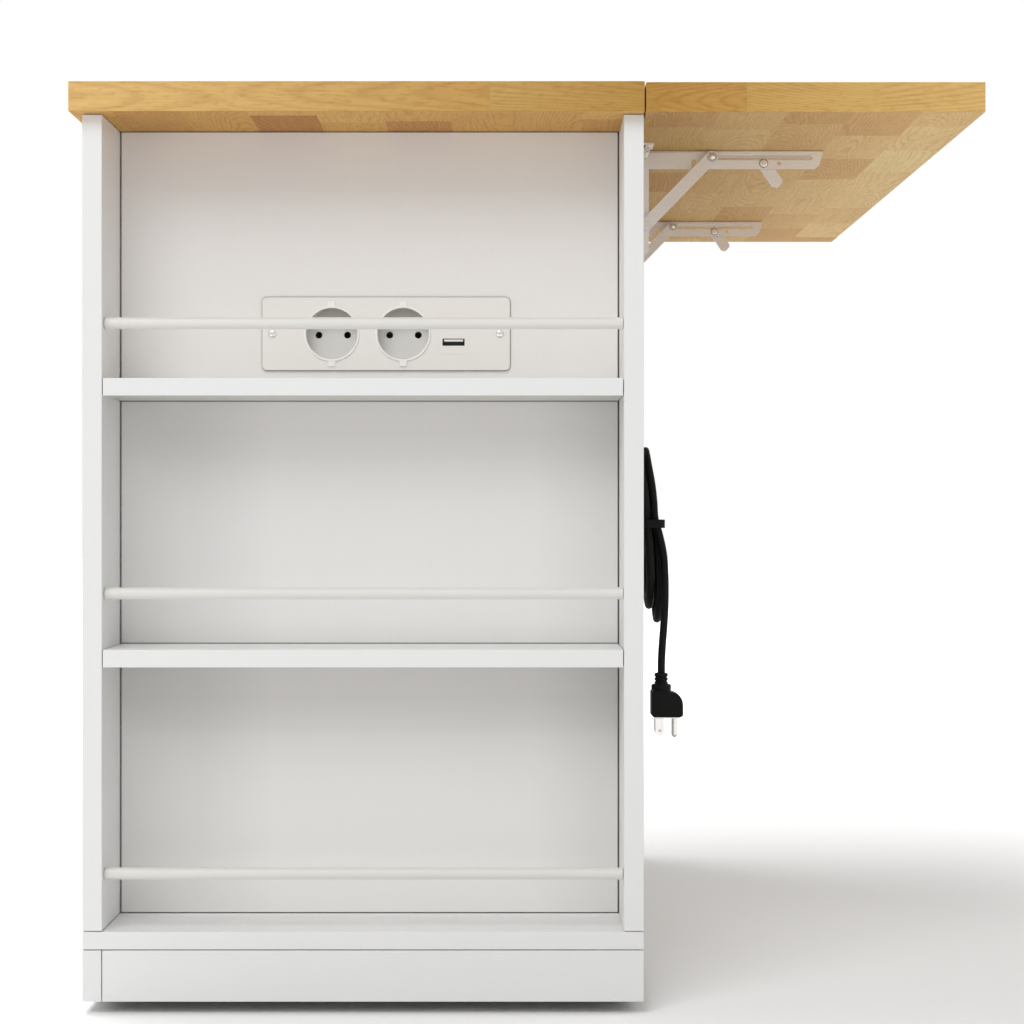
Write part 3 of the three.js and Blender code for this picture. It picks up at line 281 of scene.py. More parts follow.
# %% [markdown]
# ## The studio
#
# The photograph has a pure white ground and very soft light, with a grey shadow only where the
# leaf and the cabinet keep the sky off the floor. A white dome gives that light. The floor is
# nearly white, and for rays that come straight from the camera, or by way of shiny metal, it adds
# light of its own that grows with the distance from the island. So the open floor reaches pure
# white and the shadow beside the island stays grey. Three soft lamps give the light a direction:
# one in front, a strong one high at the left, and a faint one at the right.

# %% A dome of light
DOME_STRENGTH = 0.5

world = bpy.data.worlds.new("studio")
bpy.context.scene.world = world
world.use_nodes = True
sky = world.node_tree
rays = add_node(sky, "ShaderNodeLightPath").outputs
seen = calc(sky, "MAXIMUM", rays["Is Camera Ray"], rays["Is Glossy Ray"])
seen = calc(sky, "MAXIMUM", seen, rays["Is Transmission Ray"])
dome = add_node(sky, "ShaderNodeMapRange", {"Value": seen, "To Min": DOME_STRENGTH, "To Max": 1.0})
background = sky.nodes["Background"]
background.inputs["Color"].default_value = (1, 1, 1, 1)
sky.links.new(dome.outputs[0], background.inputs["Strength"])
bpy.context.scene.view_settings.view_transform = "Standard"


# %% Three soft lamps
def add_lamp(name, place, target, size, power):
    """A square soft lamp that looks at a point."""
    data = bpy.data.lights.new(name, "AREA")
    data.shape = "SQUARE"
    data.size = size
    data.energy = power
    lamp = bpy.data.objects.new(name, data)
    lamp.location = place
    lamp.rotation_euler = (Vector(target) - Vector(place)).to_track_quat("-Z", "Y").to_euler()
    bpy.context.scene.collection.objects.link(lamp)


add_lamp("front_lamp", (-1.0, -2.6, 3.1), (0, 0, 0.45), 2.0, 50)
add_lamp("high_left_lamp", (-1.2, 0.6, 3.8), (0, 0, 0), 2.2, 96)
add_lamp("right_lamp", (2.6, 0.0, 3.0), (0, 0, 0), 1.2, 10)

# %% The floor
FLOOR_SIZE = 40.0
FLOOR_WHITE, SEEN_WHITE = 0.84, 0.95
GLOW_NEAR, GLOW_FAR = 0.02, 1.0
GLOW_START, GLOW_END = 0.6, 3.8

floor_shape = bmesh.new()
bmesh.ops.create_grid(floor_shape, x_segments=1, y_segments=1, size=FLOOR_SIZE / 2)
floor_mesh = bpy.data.meshes.new("floor")
floor_shape.to_mesh(floor_mesh)
floor_shape.free()
floor = bpy.data.objects.new("floor", floor_mesh)
bpy.context.scene.collection.objects.link(floor)

floor_finish, floor_tree, floor_shader = start_finish("floor_white", 0.9)
floor_shader.inputs["Specular IOR Level"].default_value = 0.0
rays = add_node(floor_tree, "ShaderNodeLightPath").outputs
whiter = add_node(floor_tree, "ShaderNodeMapRange", {
    "Value": rays["Is Camera Ray"], "To Min": FLOOR_WHITE, "To Max": SEEN_WHITE})
floor_tree.links.new(whiter.outputs[0], floor_shader.inputs["Base Color"])
seen = calc(floor_tree, "MAXIMUM", rays["Is Camera Ray"], rays["Is Glossy Ray"])
floor_place = add_node(floor_tree, "ShaderNodeTexCoord").outputs["Object"]
distance = add_node(floor_tree, "ShaderNodeVectorMath", {0: floor_place}, operation="LENGTH")
glow = add_node(floor_tree, "ShaderNodeMapRange", {
    "Value": distance.outputs["Value"], "From Min": GLOW_START, "From Max": GLOW_END,
    "To Min": GLOW_NEAR, "To Max": GLOW_FAR}, interpolation_type="SMOOTHSTEP")
glow_share = calc(floor_tree, "MULTIPLY", seen, glow.outputs[0])
floor_shader.inputs["Emission Color"].default_value = (1, 1, 1, 1)
floor_tree.links.new(glow_share, floor_shader.inputs["Emission Strength"])
floor_mesh.materials.append(floor_finish)

# %% [markdown]
# ## Butcher block
#
# The worktop and the leaf are glued up from short staves of a warm hardwood that run from the
# shelf end to the far end. Each stave comes from another board, so its tone and its grain differ
# from its neighbour's. We build it as a solid: a row number and a stave number give every stave
# its own chance values, and those place the heart of its tree somewhere beside it. Year rings
# round that tilted heart make arches on the wide faces and straight lines on the long edges, all
# from one formula. The two short ends are covered with strips whose grain runs across, so the
# same recipe is used again there with its axes turned and with finer, flecked rings. Painted shade
# darkens the ends towards the joint between the two boards, and the leaf's underside towards the
# cabinet. The leaf's underside has paler tones, painted light that makes up for the shade under
# it, and the worktop's underside has tones of its own.

# %% Staves with their own trees
HEART_SPREAD = 0.09
HEART_HEIGHT = (0.035, 0.018)  # its spread and its least
HEART_TILT = 0.3


def number_staves(tree, across, along, width, length, start=None):
    """Row and stave numbers with the place inside the stave, in metres. The joints of each row
    lie by chance, unless start tells where one of them is."""
    rows = calc(tree, "DIVIDE", across, width)
    row = calc(tree, "FLOOR", rows)
    if start is None:
        shift = add_node(tree, "ShaderNodeTexWhiteNoise", {"W": row}, noise_dimensions="1D")
        shift = shift.outputs["Value"]
    else:
        shift = 8 - start / length
    staves = calc(tree, "ADD", calc(tree, "DIVIDE", along, length), shift)
    stave = calc(tree, "FLOOR", staves)
    inside_along = calc(tree, "MULTIPLY_ADD", calc(tree, "SUBTRACT", staves, stave), length,
                        -length / 2)
    inside_across = calc(tree, "MULTIPLY_ADD", calc(tree, "SUBTRACT", rows, row), width,
                         -width / 2)
    return row, stave, inside_along, inside_across


def year_rings(tree, chances, along, across, height, place, ring_width, sway_reach):
    """A value that climbs by one from each year ring of a stave to the next."""
    first, second, third = chances
    heart_across = calc(tree, "MULTIPLY_ADD", first, HEART_SPREAD, -HEART_SPREAD / 2)
    above = calc(tree, "SIGN", calc(tree, "SUBTRACT", third, 0.5))
    heart_height = calc(tree, "MULTIPLY", above, calc(tree, "MULTIPLY_ADD", second, *HEART_HEIGHT))
    fourth = calc(tree, "FRACT", calc(tree, "MULTIPLY", third, 7))
    tilt = calc(tree, "MULTIPLY_ADD", fourth, HEART_TILT, -HEART_TILT / 2)
    aside = calc(tree, "SUBTRACT", across, heart_across)
    depth = calc(tree, "SUBTRACT", calc(tree, "MULTIPLY_ADD", along, tilt, height), heart_height)
    radius = calc(tree, "SQRT", calc(tree, "MULTIPLY_ADD", aside, aside,
                                     calc(tree, "MULTIPLY", depth, depth)))
    sway = add_node(tree, "ShaderNodeTexNoise", {"Vector": place, "Scale": 1.0, "Detail": 3.0,
                                                 "Roughness": 0.55})
    bent = calc(tree, "MULTIPLY_ADD", sway.outputs[0], sway_reach, radius)
    return calc(tree, "DIVIDE", bent, ring_width)


# %% The block's colours
SWAYS, FIBRES, FLECKS, DRIFT = (19, 7, 19), (420, 14, 420), (330, 75, 330), (24, 6, 24)
FIBRE_SHARE, FLECK_SHARE = 0.6, 0.3
GRAIN_TINT = "c8b2a6"


def butcher_block(name, axes, middle, stave, rings, tones, ring_share, seed=0, fade=None):
    """Oiled hardwood staves. axes are the ways across, along and through the board; middle is the
    board's middle along the last one; stave is a width, a length and perhaps the place of a
    joint, rings a width and a sway. Another seed deals the staves again. A fade paints shade on
    the board along an axis."""
    finish, tree, shader = start_finish(name, 0.5)
    shader.inputs["Specular IOR Level"].default_value = 0.04
    place = add_node(tree, "ShaderNodeTexCoord").outputs["Object"]
    ways = add_node(tree, "ShaderNodeSeparateXYZ", {"Vector": place}).outputs
    across, along, through = (ways["XYZ".index(axis)] for axis in axes)
    row, number, inside_along, inside_across = number_staves(tree, across, along, *stave)
    numbers = add_node(tree, "ShaderNodeCombineXYZ", {"X": row, "Y": number, "Z": seed})
    chance = add_node(tree, "ShaderNodeTexWhiteNoise", {"Vector": numbers.outputs[0]},
                      noise_dimensions="3D")
    chances = add_node(tree, "ShaderNodeSeparateXYZ", {"Vector": chance.outputs["Color"]}).outputs
    turned = add_node(tree, "ShaderNodeCombineXYZ", {"X": across, "Y": along, "Z": through})
    own_place = add_node(tree, "ShaderNodeVectorMath",
                         {0: turned.outputs[0], 1: chance.outputs["Color"]}, operation="ADD")
    own_place = own_place.outputs[0]

    def pattern(scale, detail):
        stretch = add_node(tree, "ShaderNodeMapping", {"Vector": own_place, "Scale": scale})
        noise = add_node(tree, "ShaderNodeTexNoise", {"Vector": stretch.outputs[0], "Scale": 1.0,
                                                      "Detail": detail, "Roughness": 0.6})
        return noise.outputs[0]

    sway_place = add_node(tree, "ShaderNodeMapping", {"Vector": own_place, "Scale": SWAYS})
    height = calc(tree, "SUBTRACT", calc(tree, "ABSOLUTE", through), middle)
    climb = year_rings(tree, chances, inside_along, inside_across, height, sway_place.outputs[0],
                       *rings)
    ring_lines = add_node(tree, "ShaderNodeValToRGB", {"Fac": calc(tree, "FRACT", climb)})
    ramp = ring_lines.color_ramp
    ramp.elements[0].position, ramp.elements[0].color = 0.0, (0.3, 0.3, 0.3, 1)
    ramp.elements[1].position, ramp.elements[1].color = 1.0, (0.5, 0.5, 0.5, 1)
    for position, depth in ((0.3, 0.05), (0.6, 0.25), (0.86, 1.0)):
        ramp.elements.new(position).color = (depth, depth, depth, 1)

    tone = add_node(tree, "ShaderNodeValToRGB", {"Fac": chance.outputs["Value"]})
    tone_ramp = tone.color_ramp
    tone_ramp.elements[0].color = screen_colour(tones[0])
    tone_ramp.elements[1].color = screen_colour(tones[-1])
    for index, colour in enumerate(tones[1:-1], 1):
        tone_ramp.elements.new(index / (len(tones) - 1)).color = screen_colour(colour)

    fibres = pattern(FIBRES, 4.0)
    flecks = add_node(tree, "ShaderNodeMapRange", {"Value": pattern(FLECKS, 2.0),
                                                   "From Min": 0.52, "From Max": 0.68}).outputs[0]
    drift = pattern(DRIFT, 2.0)
    dark = blend_colours(tree, 1.0, tone.outputs["Color"], screen_colour(GRAIN_TINT), "MULTIPLY")
    grain_share = calc(tree, "MULTIPLY", ring_lines.outputs["Color"],
                       calc(tree, "MULTIPLY", drift, 2 * ring_share))
    grained = blend_colours(tree, grain_share, tone.outputs["Color"], dark)
    fibre_share = calc(tree, "MULTIPLY_ADD", fibres, FIBRE_SHARE, -FIBRE_SHARE / 4)
    fibred = blend_colours(tree, fibre_share, grained, dark)
    flecked = blend_colours(tree, calc(tree, "MULTIPLY", flecks, FLECK_SHARE), fibred, dark)
    # the fade paints shade on the board
    if fade:
        flecked = painted_shade_along(tree, flecked, *fade)
    tree.links.new(flecked, shader.inputs["Base Color"])
    set_roughness(tree, shader, fibres, 0.5, 0.68)
    relief = calc(tree, "MULTIPLY_ADD", flecks, -0.6, fibres)
    add_relief(tree, shader, relief, 0.12, 0.0004)
    return finish


FACE_TONES = ("c2965f", "cda268", "d9b276", "e0bd82", "d4ac6d", "e4c689")
# the leaf underside's tones are paler than the face's: painted light against the shade under it
LEAF_UNDER_LIT_TONES = ("e4b87c", "ecc388", "f5d397", "fcdea3", "f1cc8d", "fee5ab")
UNDER_TONES = ("c2905a", "d0a163", "dcb06b", "e4bc76", "d8aa66", "e8c480")
EDGE_TONES = ("ecc480", "f1cd89", "eec782", "f5d593", "f2cf8b")
LEAF_EDGE_TONES = ("e3b773", "e8bf78", "e5bb73", "ecc67e", "eec980")
WORKTOP_SEED, LEAF_SEED, WORKTOP_END_SEED, LEAF_END_SEED = 7, 6, 6, 0
STAVE = (0.067, 0.145)
STAVE_RINGS, STAVE_RING_SHARE = (0.0028, 0.014), 0.33
END_STRIP = 0.0309
END_RINGS, END_RING_SHARE = (0.0019, 0.0025), 0.3
WORKTOP_MIDDLE, LEAF_MIDDLE, ISLAND_END = 0.912, 0.911, 0.5
worktop_start_x, joint_x = corner_of("worktop", 0).x, corner_of("worktop", 1).x
leaf_end_x = corner_of("drop_leaf", 1).x
# the leaf's underside gets paler tones (painted light) and a fade of painted shade near the joint
worktop_face, worktop_under, leaf_face, leaf_under = (
    butcher_block(name, "XYZ", middle, STAVE, STAVE_RINGS, tones, STAVE_RING_SHARE, seed, fade)
    for name, middle, tones, seed, fade in (
        ("worktop_face", WORKTOP_MIDDLE, FACE_TONES, WORKTOP_SEED, None),
        ("worktop_under", WORKTOP_MIDDLE, UNDER_TONES, WORKTOP_SEED, None),
        ("leaf_face", LEAF_MIDDLE, FACE_TONES, LEAF_SEED, None),
        ("leaf_under", LEAF_MIDDLE, LEAF_UNDER_LIT_TONES, LEAF_SEED, ("X", leaf_end_x - 0.06, joint_x + 0.03,
                                                            "cfc4b4"))))
# each end's fade paints shade that darkens it towards the joint
worktop_end = butcher_block(
    "worktop_end", "ZXY", ISLAND_END, (END_STRIP, 0.26, -0.027), END_RINGS, EDGE_TONES,
    END_RING_SHARE, WORKTOP_END_SEED, ("X", worktop_start_x, joint_x, "cdbc99"))
leaf_end = butcher_block(
    "leaf_end", "ZXY", ISLAND_END, (END_STRIP, 0.1326, 0.2275), END_RINGS, LEAF_EDGE_TONES,
    END_RING_SHARE, LEAF_END_SEED, ("X", leaf_end_x, joint_x, "d8cbb2"))


# %% [markdown]
# ## Satin paint
#
# The cabinet's boards carry a thin white satin finish that keeps a trace of grain. It shows as
# faint streaks along each board, so upright panels and level shelves need one version each. The
# streaks are mostly relief, with a very slight change of tone, and a wider cloud pattern keeps
# large faces from looking like flat colour. The niche's back has a dark hairline where it meets
# the boards round it, a joint line with painted contact shade, and soft painted shade in the
# corners of its two lower bays. The rails are a little duller, and the undersides of the boards
# are greyer, which is painted shade.

# %% White paint, along each axis
DULL_SHARE = 0.955
# the seams' band, and the colour of all painted shade on the niche's back
SEAM, SHADE_COLOUR = (0.0006, 0.0014, 0.75), "4a4743"
UPRIGHT, LEVEL, LENGTHWISE = (320, 320, 14), (14, 320, 320), (320, 14, 320)


def paint_shade_near(tree, colour, axis, spot, core, reach, depth):
    """Paints shade on a colour round a place on an axis: darkens it by the whole depth within the
    core, then by less and less out to the reach. Places and reaches are in metres."""
    away = calc(tree, "ABSOLUTE", calc(tree, "SUBTRACT", axis_value(tree, axis), spot))
    near = add_node(tree, "ShaderNodeMapRange", {
        "Value": away, "From Min": core, "From Max": reach, "To Min": depth,
        "To Max": 0.0}).outputs[0]
    return blend_colours(tree, near, colour, screen_colour(SHADE_COLOUR))


def satin_paint(name, colour, streaks, seams=(), shades=()):
    """White satin paint. streaks are the pattern's scales along x, y and z. Each seam is a dark
    hairline, a joint line with painted contact shade, given as an axis and a place on it in metres.
    Each shade is a band of painted shade below the upper shelf, with a core, a reach and a depth as
    well."""
    finish, tree, shader = start_finish(name, 0.42)
    grain = add_node(tree, "ShaderNodeTexNoise", {"Vector": stretched(tree, streaks), "Scale": 1.0,
                                                  "Detail": 5.0, "Roughness": 0.65}).outputs[0]
    clouds = add_node(tree, "ShaderNodeTexNoise", {"Vector": stretched(tree, (5, 5, 5)),
                                                   "Scale": 1.0, "Detail": 2.0}).outputs[0]
    bright = screen_colour(colour)
    dull = [DULL_SHARE * c for c in bright[:3]] + [1]
    shade = calc(tree, "MULTIPLY_ADD", grain, 0.5, calc(tree, "MULTIPLY", clouds, 0.5))
    painted = blend_colours(tree, shade, bright, dull)
    # painted shade in the corners of the lower bays, kept below the upper shelf
    if shades:
        shaded = painted
        for band in shades:
            shaded = paint_shade_near(tree, shaded, *band)
        below = calc(tree, "LESS_THAN", axis_value(tree, "Z"), SHADE_TOP)
        painted = blend_colours(tree, below, painted, shaded)
    # dark hairlines: joint lines with painted contact shade
    for axis, spot in seams:
        painted = paint_shade_near(tree, painted, axis, spot, *SEAM)
    tree.links.new(painted, shader.inputs["Base Color"])
    set_roughness(tree, shader, grain, 0.36, 0.5)
    add_relief(tree, shader, grain, 0.14, 0.0003)
    return finish


# the undersides' greyer paint is painted shade
PAINT, WARM_PAINT, RAIL_PAINT, UNDER_SHADE_PAINT = "f1f1f0", "f5f3f1", "e8e6e1", "d2cfc9"
niche_left = corner_of("niche_shelf_upper", 0).x
niche_right = corner_of("niche_shelf_upper", 1).x
# hairlines of joint line and painted contact shade where the niche's back meets the boards
niche_seam_shades = [("X", niche_left), ("X", niche_right), ("Z", corner_of("worktop", 0).z),
               ("Z", corner_of("base_board", 1).z)]
for shelf in ("niche_shelf_lower", "niche_shelf_upper"):
    niche_seam_shades += [("Z", corner_of(shelf, 0).z), ("Z", corner_of(shelf, 1).z)]
# painted shade in the corners of the niche's two lower bays
SHADE_TOP = corner_of("niche_shelf_upper", 1).z - 0.001
SHADE_DROP = 0.02
# each has an axis and a place on it, a core, a reach and a depth
niche_shades = [("X", niche_left + 0.06, 0.02, 0.1, 0.14), ("X", niche_right, 0.02, 0.09, 0.11),
                ("Z", corner_of("niche_shelf_lower", 0).z - SHADE_DROP, 0.02, 0.06, 0.16),
                ("Z", corner_of("niche_shelf_upper", 0).z - SHADE_DROP, 0.015, 0.045, 0.08)]
upright_paint = satin_paint("upright_paint", PAINT, UPRIGHT)
inner_paint = satin_paint("inner_paint", WARM_PAINT, UPRIGHT, niche_seam_shades, niche_shades)
under_shade_paint = satin_paint("under_shade_paint", UNDER_SHADE_PAINT, LEVEL)
level_paint = satin_paint("level_paint", PAINT, LEVEL)
rail_paint = satin_paint("rail_paint", RAIL_PAINT, LEVEL)
lengthwise_paint = satin_paint("lengthwise_paint", PAINT, LENGTHWISE)


# %% [markdown]
# ## Metals, plastics and rubber
#
# The brackets are pressed steel with a warm, dull plating, with painted shade on the faces that
# look down. Their rivets are brighter, with a dark ring of painted shade round each head. Handles
# are brushed. The outlet is satin off-white plastic. Its sockets' rims are whiter, a painted
# highlight, and their wells greyer and darker towards the top, painted shade. Its housing is grey,
# and the cord is black rubber that hardly shines. Each finish has a fine noise of its own scale:
# streaks along sheet steel, and an even, much finer grain on rivets and plastic.

# %% One recipe for the plain finishes
def plain_finish(name, colour, worn, metallic, rough, scale, relief, fade=None):
    """A finish with one fine pattern: two close tones, a spread of roughness and a relief. A fade
    paints shade on it along an axis."""
    finish, tree, shader = start_finish(name, rough[0], metallic)
    pattern = add_node(tree, "ShaderNodeTexNoise", {"Vector": stretched(tree, scale), "Scale": 1.0,
                                                    "Detail": 3.0}).outputs[0]
    base = blend_colours(tree, pattern, screen_colour(colour), screen_colour(worn))
    if fade:
        base = painted_shade_along(tree, base, *fade)
    tree.links.new(base, shader.inputs["Base Color"])
    set_roughness(tree, shader, pattern, *rough)
    add_relief(tree, shader, pattern, *relief)
    return finish


plated_steel = plain_finish("plated_steel", "faf5f0", "eee7e1", 0.1, (0.4, 0.55),
                            (60, 500, 500), (0.1, 0.0002))
# painted shade for the brackets' faces that look down
painted_shade_steel = plain_finish("painted_shade_steel", "b8a899", "ab9c8e", 0.1, (0.45, 0.6),
                            (60, 500, 500), (0.1, 0.0002))
rivet_steel = plain_finish("rivet_steel", "f6f1ea", "e9e2d9", 0.45, (0.2, 0.34),
                           (700, 700, 700), (0.06, 0.0001))
# dark rings of painted shade round the rivet heads
rim_shade_steel = plain_finish("rim_shade_steel", "6a5f56", "564c44", 0.3, (0.5, 0.7),
                        (700, 700, 700), (0.1, 0.0001))
brushed_steel = plain_finish("brushed_steel", "d0cecb", "bdbbb8", 0.95, (0.24, 0.4),
                             (40, 900, 900), (0.1, 0.0001))
nickel_plate = plain_finish("nickel_plate", "e4e2de", "d3d1cd", 0.95, (0.18, 0.3),
                            (500, 500, 60), (0.06, 0.0001))
outlet_plastic = plain_finish("outlet_plastic", "f5f3ef", "efece8", 0.0, (0.32, 0.44),
                              (900, 900, 900), (0.08, 0.0001))
# the sockets' rims are whiter than the plate: a painted highlight
rim_highlight_plastic = plain_finish("rim_highlight_plastic", "fdfdfc", "f8f8f6", 0.0, (0.3, 0.4),
                           (900, 900, 900), (0.05, 0.0001))
# the wells are greyer, and darker towards the top: painted shade
WELL_SHADE_RISE = 0.028
socket_z = sum(corner.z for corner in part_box("socket_1")) / 2
well_shade_plastic = plain_finish("well_shade_plastic", "e4e3e0", "dddcd8", 0.0, (0.35, 0.45),
                            (900, 900, 900), (0.08, 0.0001),
                            fade=("Z", socket_z, socket_z + WELL_SHADE_RISE, "d4d1ce"))
housing_plastic = plain_finish("housing_plastic", "a2a2a0", "969694", 0.0, (0.5, 0.65),
                               (700, 700, 700), (0.15, 0.0002))
runner_wood = plain_finish("runner_wood", "c9a878", "b8935f", 0.0, (0.5, 0.65),
                           (16, 420, 420), (0.15, 0.0003))
cord_rubber = plain_finish("cord_rubber", "0e0f0d", "080908", 0.0, (0.5, 0.62),
                           (600, 600, 600), (0.15, 0.0002))
rubber_shader = cord_rubber.node_tree.nodes["Principled BSDF"]
rubber_shader.inputs["Specular IOR Level"].default_value = 0.14
# a grey ring of painted shadow round the outlet's plate
shadow_line_grey = plain_finish("shadow_line_grey", "8c8884", "7e7a76", 0.0, (0.6, 0.75),
                           (700, 700, 700), (0.1, 0.0001))
glide_plastic = plain_finish("glide_plastic", "484848", "3c3c3c", 0.0, (0.5, 0.65),
                             (500, 500, 500), (0.15, 0.0002))
port_black = plain_finish("port_black", "464646", "3a3a3a", 0.0, (0.4, 0.55),
                          (900, 900, 900), (0.08, 0.0001))
port_white = plain_finish("port_white", "fbfbfa", "f3f3f1", 0.0, (0.3, 0.4),
                          (900, 900, 900), (0.05, 0.0001))
cord_curve.materials.append(cord_rubber)

# %% [markdown]
# ## Easing the edges
#
# No real board or plate has a knife edge: it catches a thin line of light along each arris. The
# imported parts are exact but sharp, so each one gets a copy whose flat triangles are dissolved and
# whose sharp edges are bevelled, and the copy is shown in its place. The boards are also drawn in
# by a hair, and the arms' upper bends and the lever rivets' heads get a wider round. The shape
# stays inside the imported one. Weighted normals keep the wide faces flat beside the little rounds.

# %% A copy of a part with eased edges
FLAT_ANGLE, SHARP_ANGLE, SMOOTH_ANGLE = 0.5, 30, 38
BODY_OF = {part: body for body, parts in frame["record"]["behaviour"]["bodies"].items()
           for part in parts}


def show_piece(name, shape, finishes, body):
    """Makes an object of a bmesh, smooth but for its sharp edges, that moves with a body."""
    mesh = bpy.data.meshes.new(name)
    shape.to_mesh(mesh)
    shape.free()
    mesh.shade_smooth()
    mesh.set_sharp_from_angle(angle=math.radians(SMOOTH_ANGLE))
    for finish in finishes:
        mesh.materials.append(finish)
    piece = bpy.data.objects.new(name, mesh)
    bpy.context.scene.collection.objects.link(piece)
    piece.modifiers.new("flat_faces", "WEIGHTED_NORMAL").keep_sharp = True
    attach(piece, body)
    return piece


def eased_shape(part, radius, segments=2, slim=0.0, crown=0.0, crown_top=False):
    """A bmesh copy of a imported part, its sharp edges rounded by a radius in millimetres. Its faces
    can be drawn in by the millimetres of slim, which opens the seams beside them. A crown is a
    wider round on the edges of the front face, or on its highest edge alone."""
    shape = bmesh.new()
    shape.from_mesh(PARTS[part].data)
    for face in shape.faces:
        face.material_index = 0
    bmesh.ops.remove_doubles(shape, verts=shape.verts, dist=1e-6)
    bmesh.ops.dissolve_limit(shape, angle_limit=math.radians(FLAT_ANGLE), verts=shape.verts,
                             edges=shape.edges, use_dissolve_boundaries=False)
    if slim:
        shape.normal_update()
        inward = [vert.normal * vert.calc_shell_factor() for vert in shape.verts]
        for vert, way in zip(shape.verts, inward):
            vert.co -= way * slim * MM
    if crown:
        front, top = corner_of(part, 0).y + 0.1 * MM, corner_of(part, 1).z - 0.1 * MM
        rim = [edge for edge in shape.edges
               if all(vert.co.y < front and (vert.co.z > top or not crown_top)
                      for vert in edge.verts)]
        bmesh.ops.bevel(shape, geom=rim, offset=crown * MM, offset_type="OFFSET", affect="EDGES",
                        segments=6, profile=0.5, material=-1, clamp_overlap=True)
    edges = [edge for edge in shape.edges
             if edge.is_manifold and edge.calc_face_angle() > math.radians(SHARP_ANGLE)]
    bmesh.ops.bevel(shape, geom=edges, offset=radius * MM, offset_type="OFFSET", affect="EDGES",
                    segments=segments, profile=0.5, material=-1, clamp_overlap=True)
    return shape


def ease(part, finish, radius, segments=2, **extras):
    """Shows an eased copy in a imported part's place."""
    shape = eased_shape(part, radius, segments, **extras)
    piece = show_piece(f"{part}_eased", shape, [finish], BODY_OF[part])
    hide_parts(part)
    return piece


# %% Wood and painted boards
SLIM = 0.2
ACROSS, DOWN = 0.6, 0.9  # a face's normal along an axis, from where it counts as facing that way


def shade_undersides(piece, finish):
    """Gives the faces that look down a finish of their own, which paints shade on them."""
    piece.data.materials.append(finish)
    for face in piece.data.polygons:
        face.material_index = 1 if face.normal.z < -DOWN else 0


for part, finish, under_finish, end_finish in (
        ("worktop", worktop_face, worktop_under, worktop_end),
        ("drop_leaf", leaf_face, leaf_under, leaf_end)):
    board = ease(part, finish, 0.8, 3)
    board.data.materials.append(under_finish)
    board.data.materials.append(end_finish)
    for face in board.data.polygons:
        at_end, under = abs(face.normal.y) > ACROSS, face.normal.z < -ACROSS
        face.material_index = 2 if at_end else 1 if under else 0
for part in ("niche_side_panel", "back_panel", "far_end_panel", "door_near", "door_far"):
    ease(part, upright_paint, 0.5, slim=SLIM)
ease("niche_back_panel", inner_paint, 0.5, slim=SLIM)
for part in ("base_board", "kick_near_end", "kick_far_end", "niche_shelf_lower",
             "niche_shelf_upper", "cupboard_shelf"):
    # the boards' undersides get painted shade
    shade_undersides(ease(part, level_paint, 0.5, slim=SLIM), under_shade_paint)
for part in ("kick_front", "kick_back", "front_rail", "drawer_front", "drawer_box"):
    ease(part, lengthwise_paint, 0.5, slim=SLIM)
for part in ("niche_rail_low", "niche_rail_middle", "niche_rail_high"):
    ease(part, rail_paint, 0.4)
for part in ("drawer_runner_near", "drawer_runner_far"):
    ease(part, runner_wood, 0.5)
print("Boards eased")

# %% Steel, plastic and rubber
BRACE_HEAD_HEIGHT, BRACE_HEAD_REACH, BRACE_HEAD_SHARE = 1.8, 4.8, 0.78
ARM_BEND, RIVET_CROWN = 1.5, 1.8
for end in ("near", "far"):
    for kind in ("arm", "wall_plate", "lever"):
        plate = ease(f"bracket_{kind}_{end}", plated_steel, 0.25,
                     crown=ARM_BEND if kind == "arm" else 0.0, crown_top=True)
        # the plates' faces that look down get painted shade
        shade_undersides(plate, painted_shade_steel)
    brace = ease(f"bracket_brace_{end}", plated_steel, 0.25)
    brace.data.materials.append(rivet_steel)
    tip = min(brace.data.vertices, key=lambda vert: vert.co.y).co.copy()
    for vert in brace.data.vertices:
        away = Vector((vert.co.x - tip.x, 0, vert.co.z - tip.z))
        in_head = vert.co.y < tip.y + (BRACE_HEAD_HEIGHT + 0.1) * MM
        if in_head and away.length < BRACE_HEAD_REACH * MM:
            vert.co -= away * (1 - BRACE_HEAD_SHARE)
    for face in brace.data.polygons:
        if face.center.y < tip.y + (BRACE_HEAD_HEIGHT - 0.1) * MM:
            face.material_index = 1
    ease(f"bracket_fold_rivet_{end}", rivet_steel, 0.3)
    ease(f"bracket_lever_rivet_{end}", rivet_steel, 0.2, crown=RIVET_CROWN)
    for kind in ("wall_half", "leaf_half"):
        ease(f"leaf_hinge_{kind}_{end}", plated_steel, 0.25)
    ease(f"door_handle_{end}", brushed_steel, 1.0, 3)
ease("drawer_handle", brushed_steel, 1.0, 3)
for part in ("door_pivots_low", "door_pivots_high"):
    ease(part, rivet_steel, 0.2)
for part in ("glide_strip_front", "glide_strip_back"):
    ease(part, glide_plastic, 0.5)

WELL_START, RING_RADIUS = 3.0, 29.2
COVER_SHARE = 0.9
ease("outlet_plate", outlet_plastic, 0.5, 3)
ease("outlet_housing", housing_plastic, 0.6)
for part in ("socket_1", "socket_2"):
    # a whiter rim (painted highlight) and a greyer well (painted shade)
    socket = ease(part, rim_highlight_plastic, 0.2)
    socket.data.materials.append(well_shade_plastic)
    socket.data.materials.append(outlet_plastic)
    low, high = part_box(part)
    lip = low.y + WELL_START * MM
    for face in socket.data.polygons:
        off_middle = abs(face.center.z - (low.z + high.z) / 2)
        on_clip = off_middle > RING_RADIUS * MM and face.center.y < lip
        face.material_index = 1 if face.center.y > lip else 2 if on_clip else 0
cover = ease("cord_cover", cord_rubber, 1.5, 4)
cover_back = corner_of("cord_cover", 0).x
for vert in cover.data.vertices:
    vert.co.x = cover_back + (vert.co.x - cover_back) * COVER_SHARE
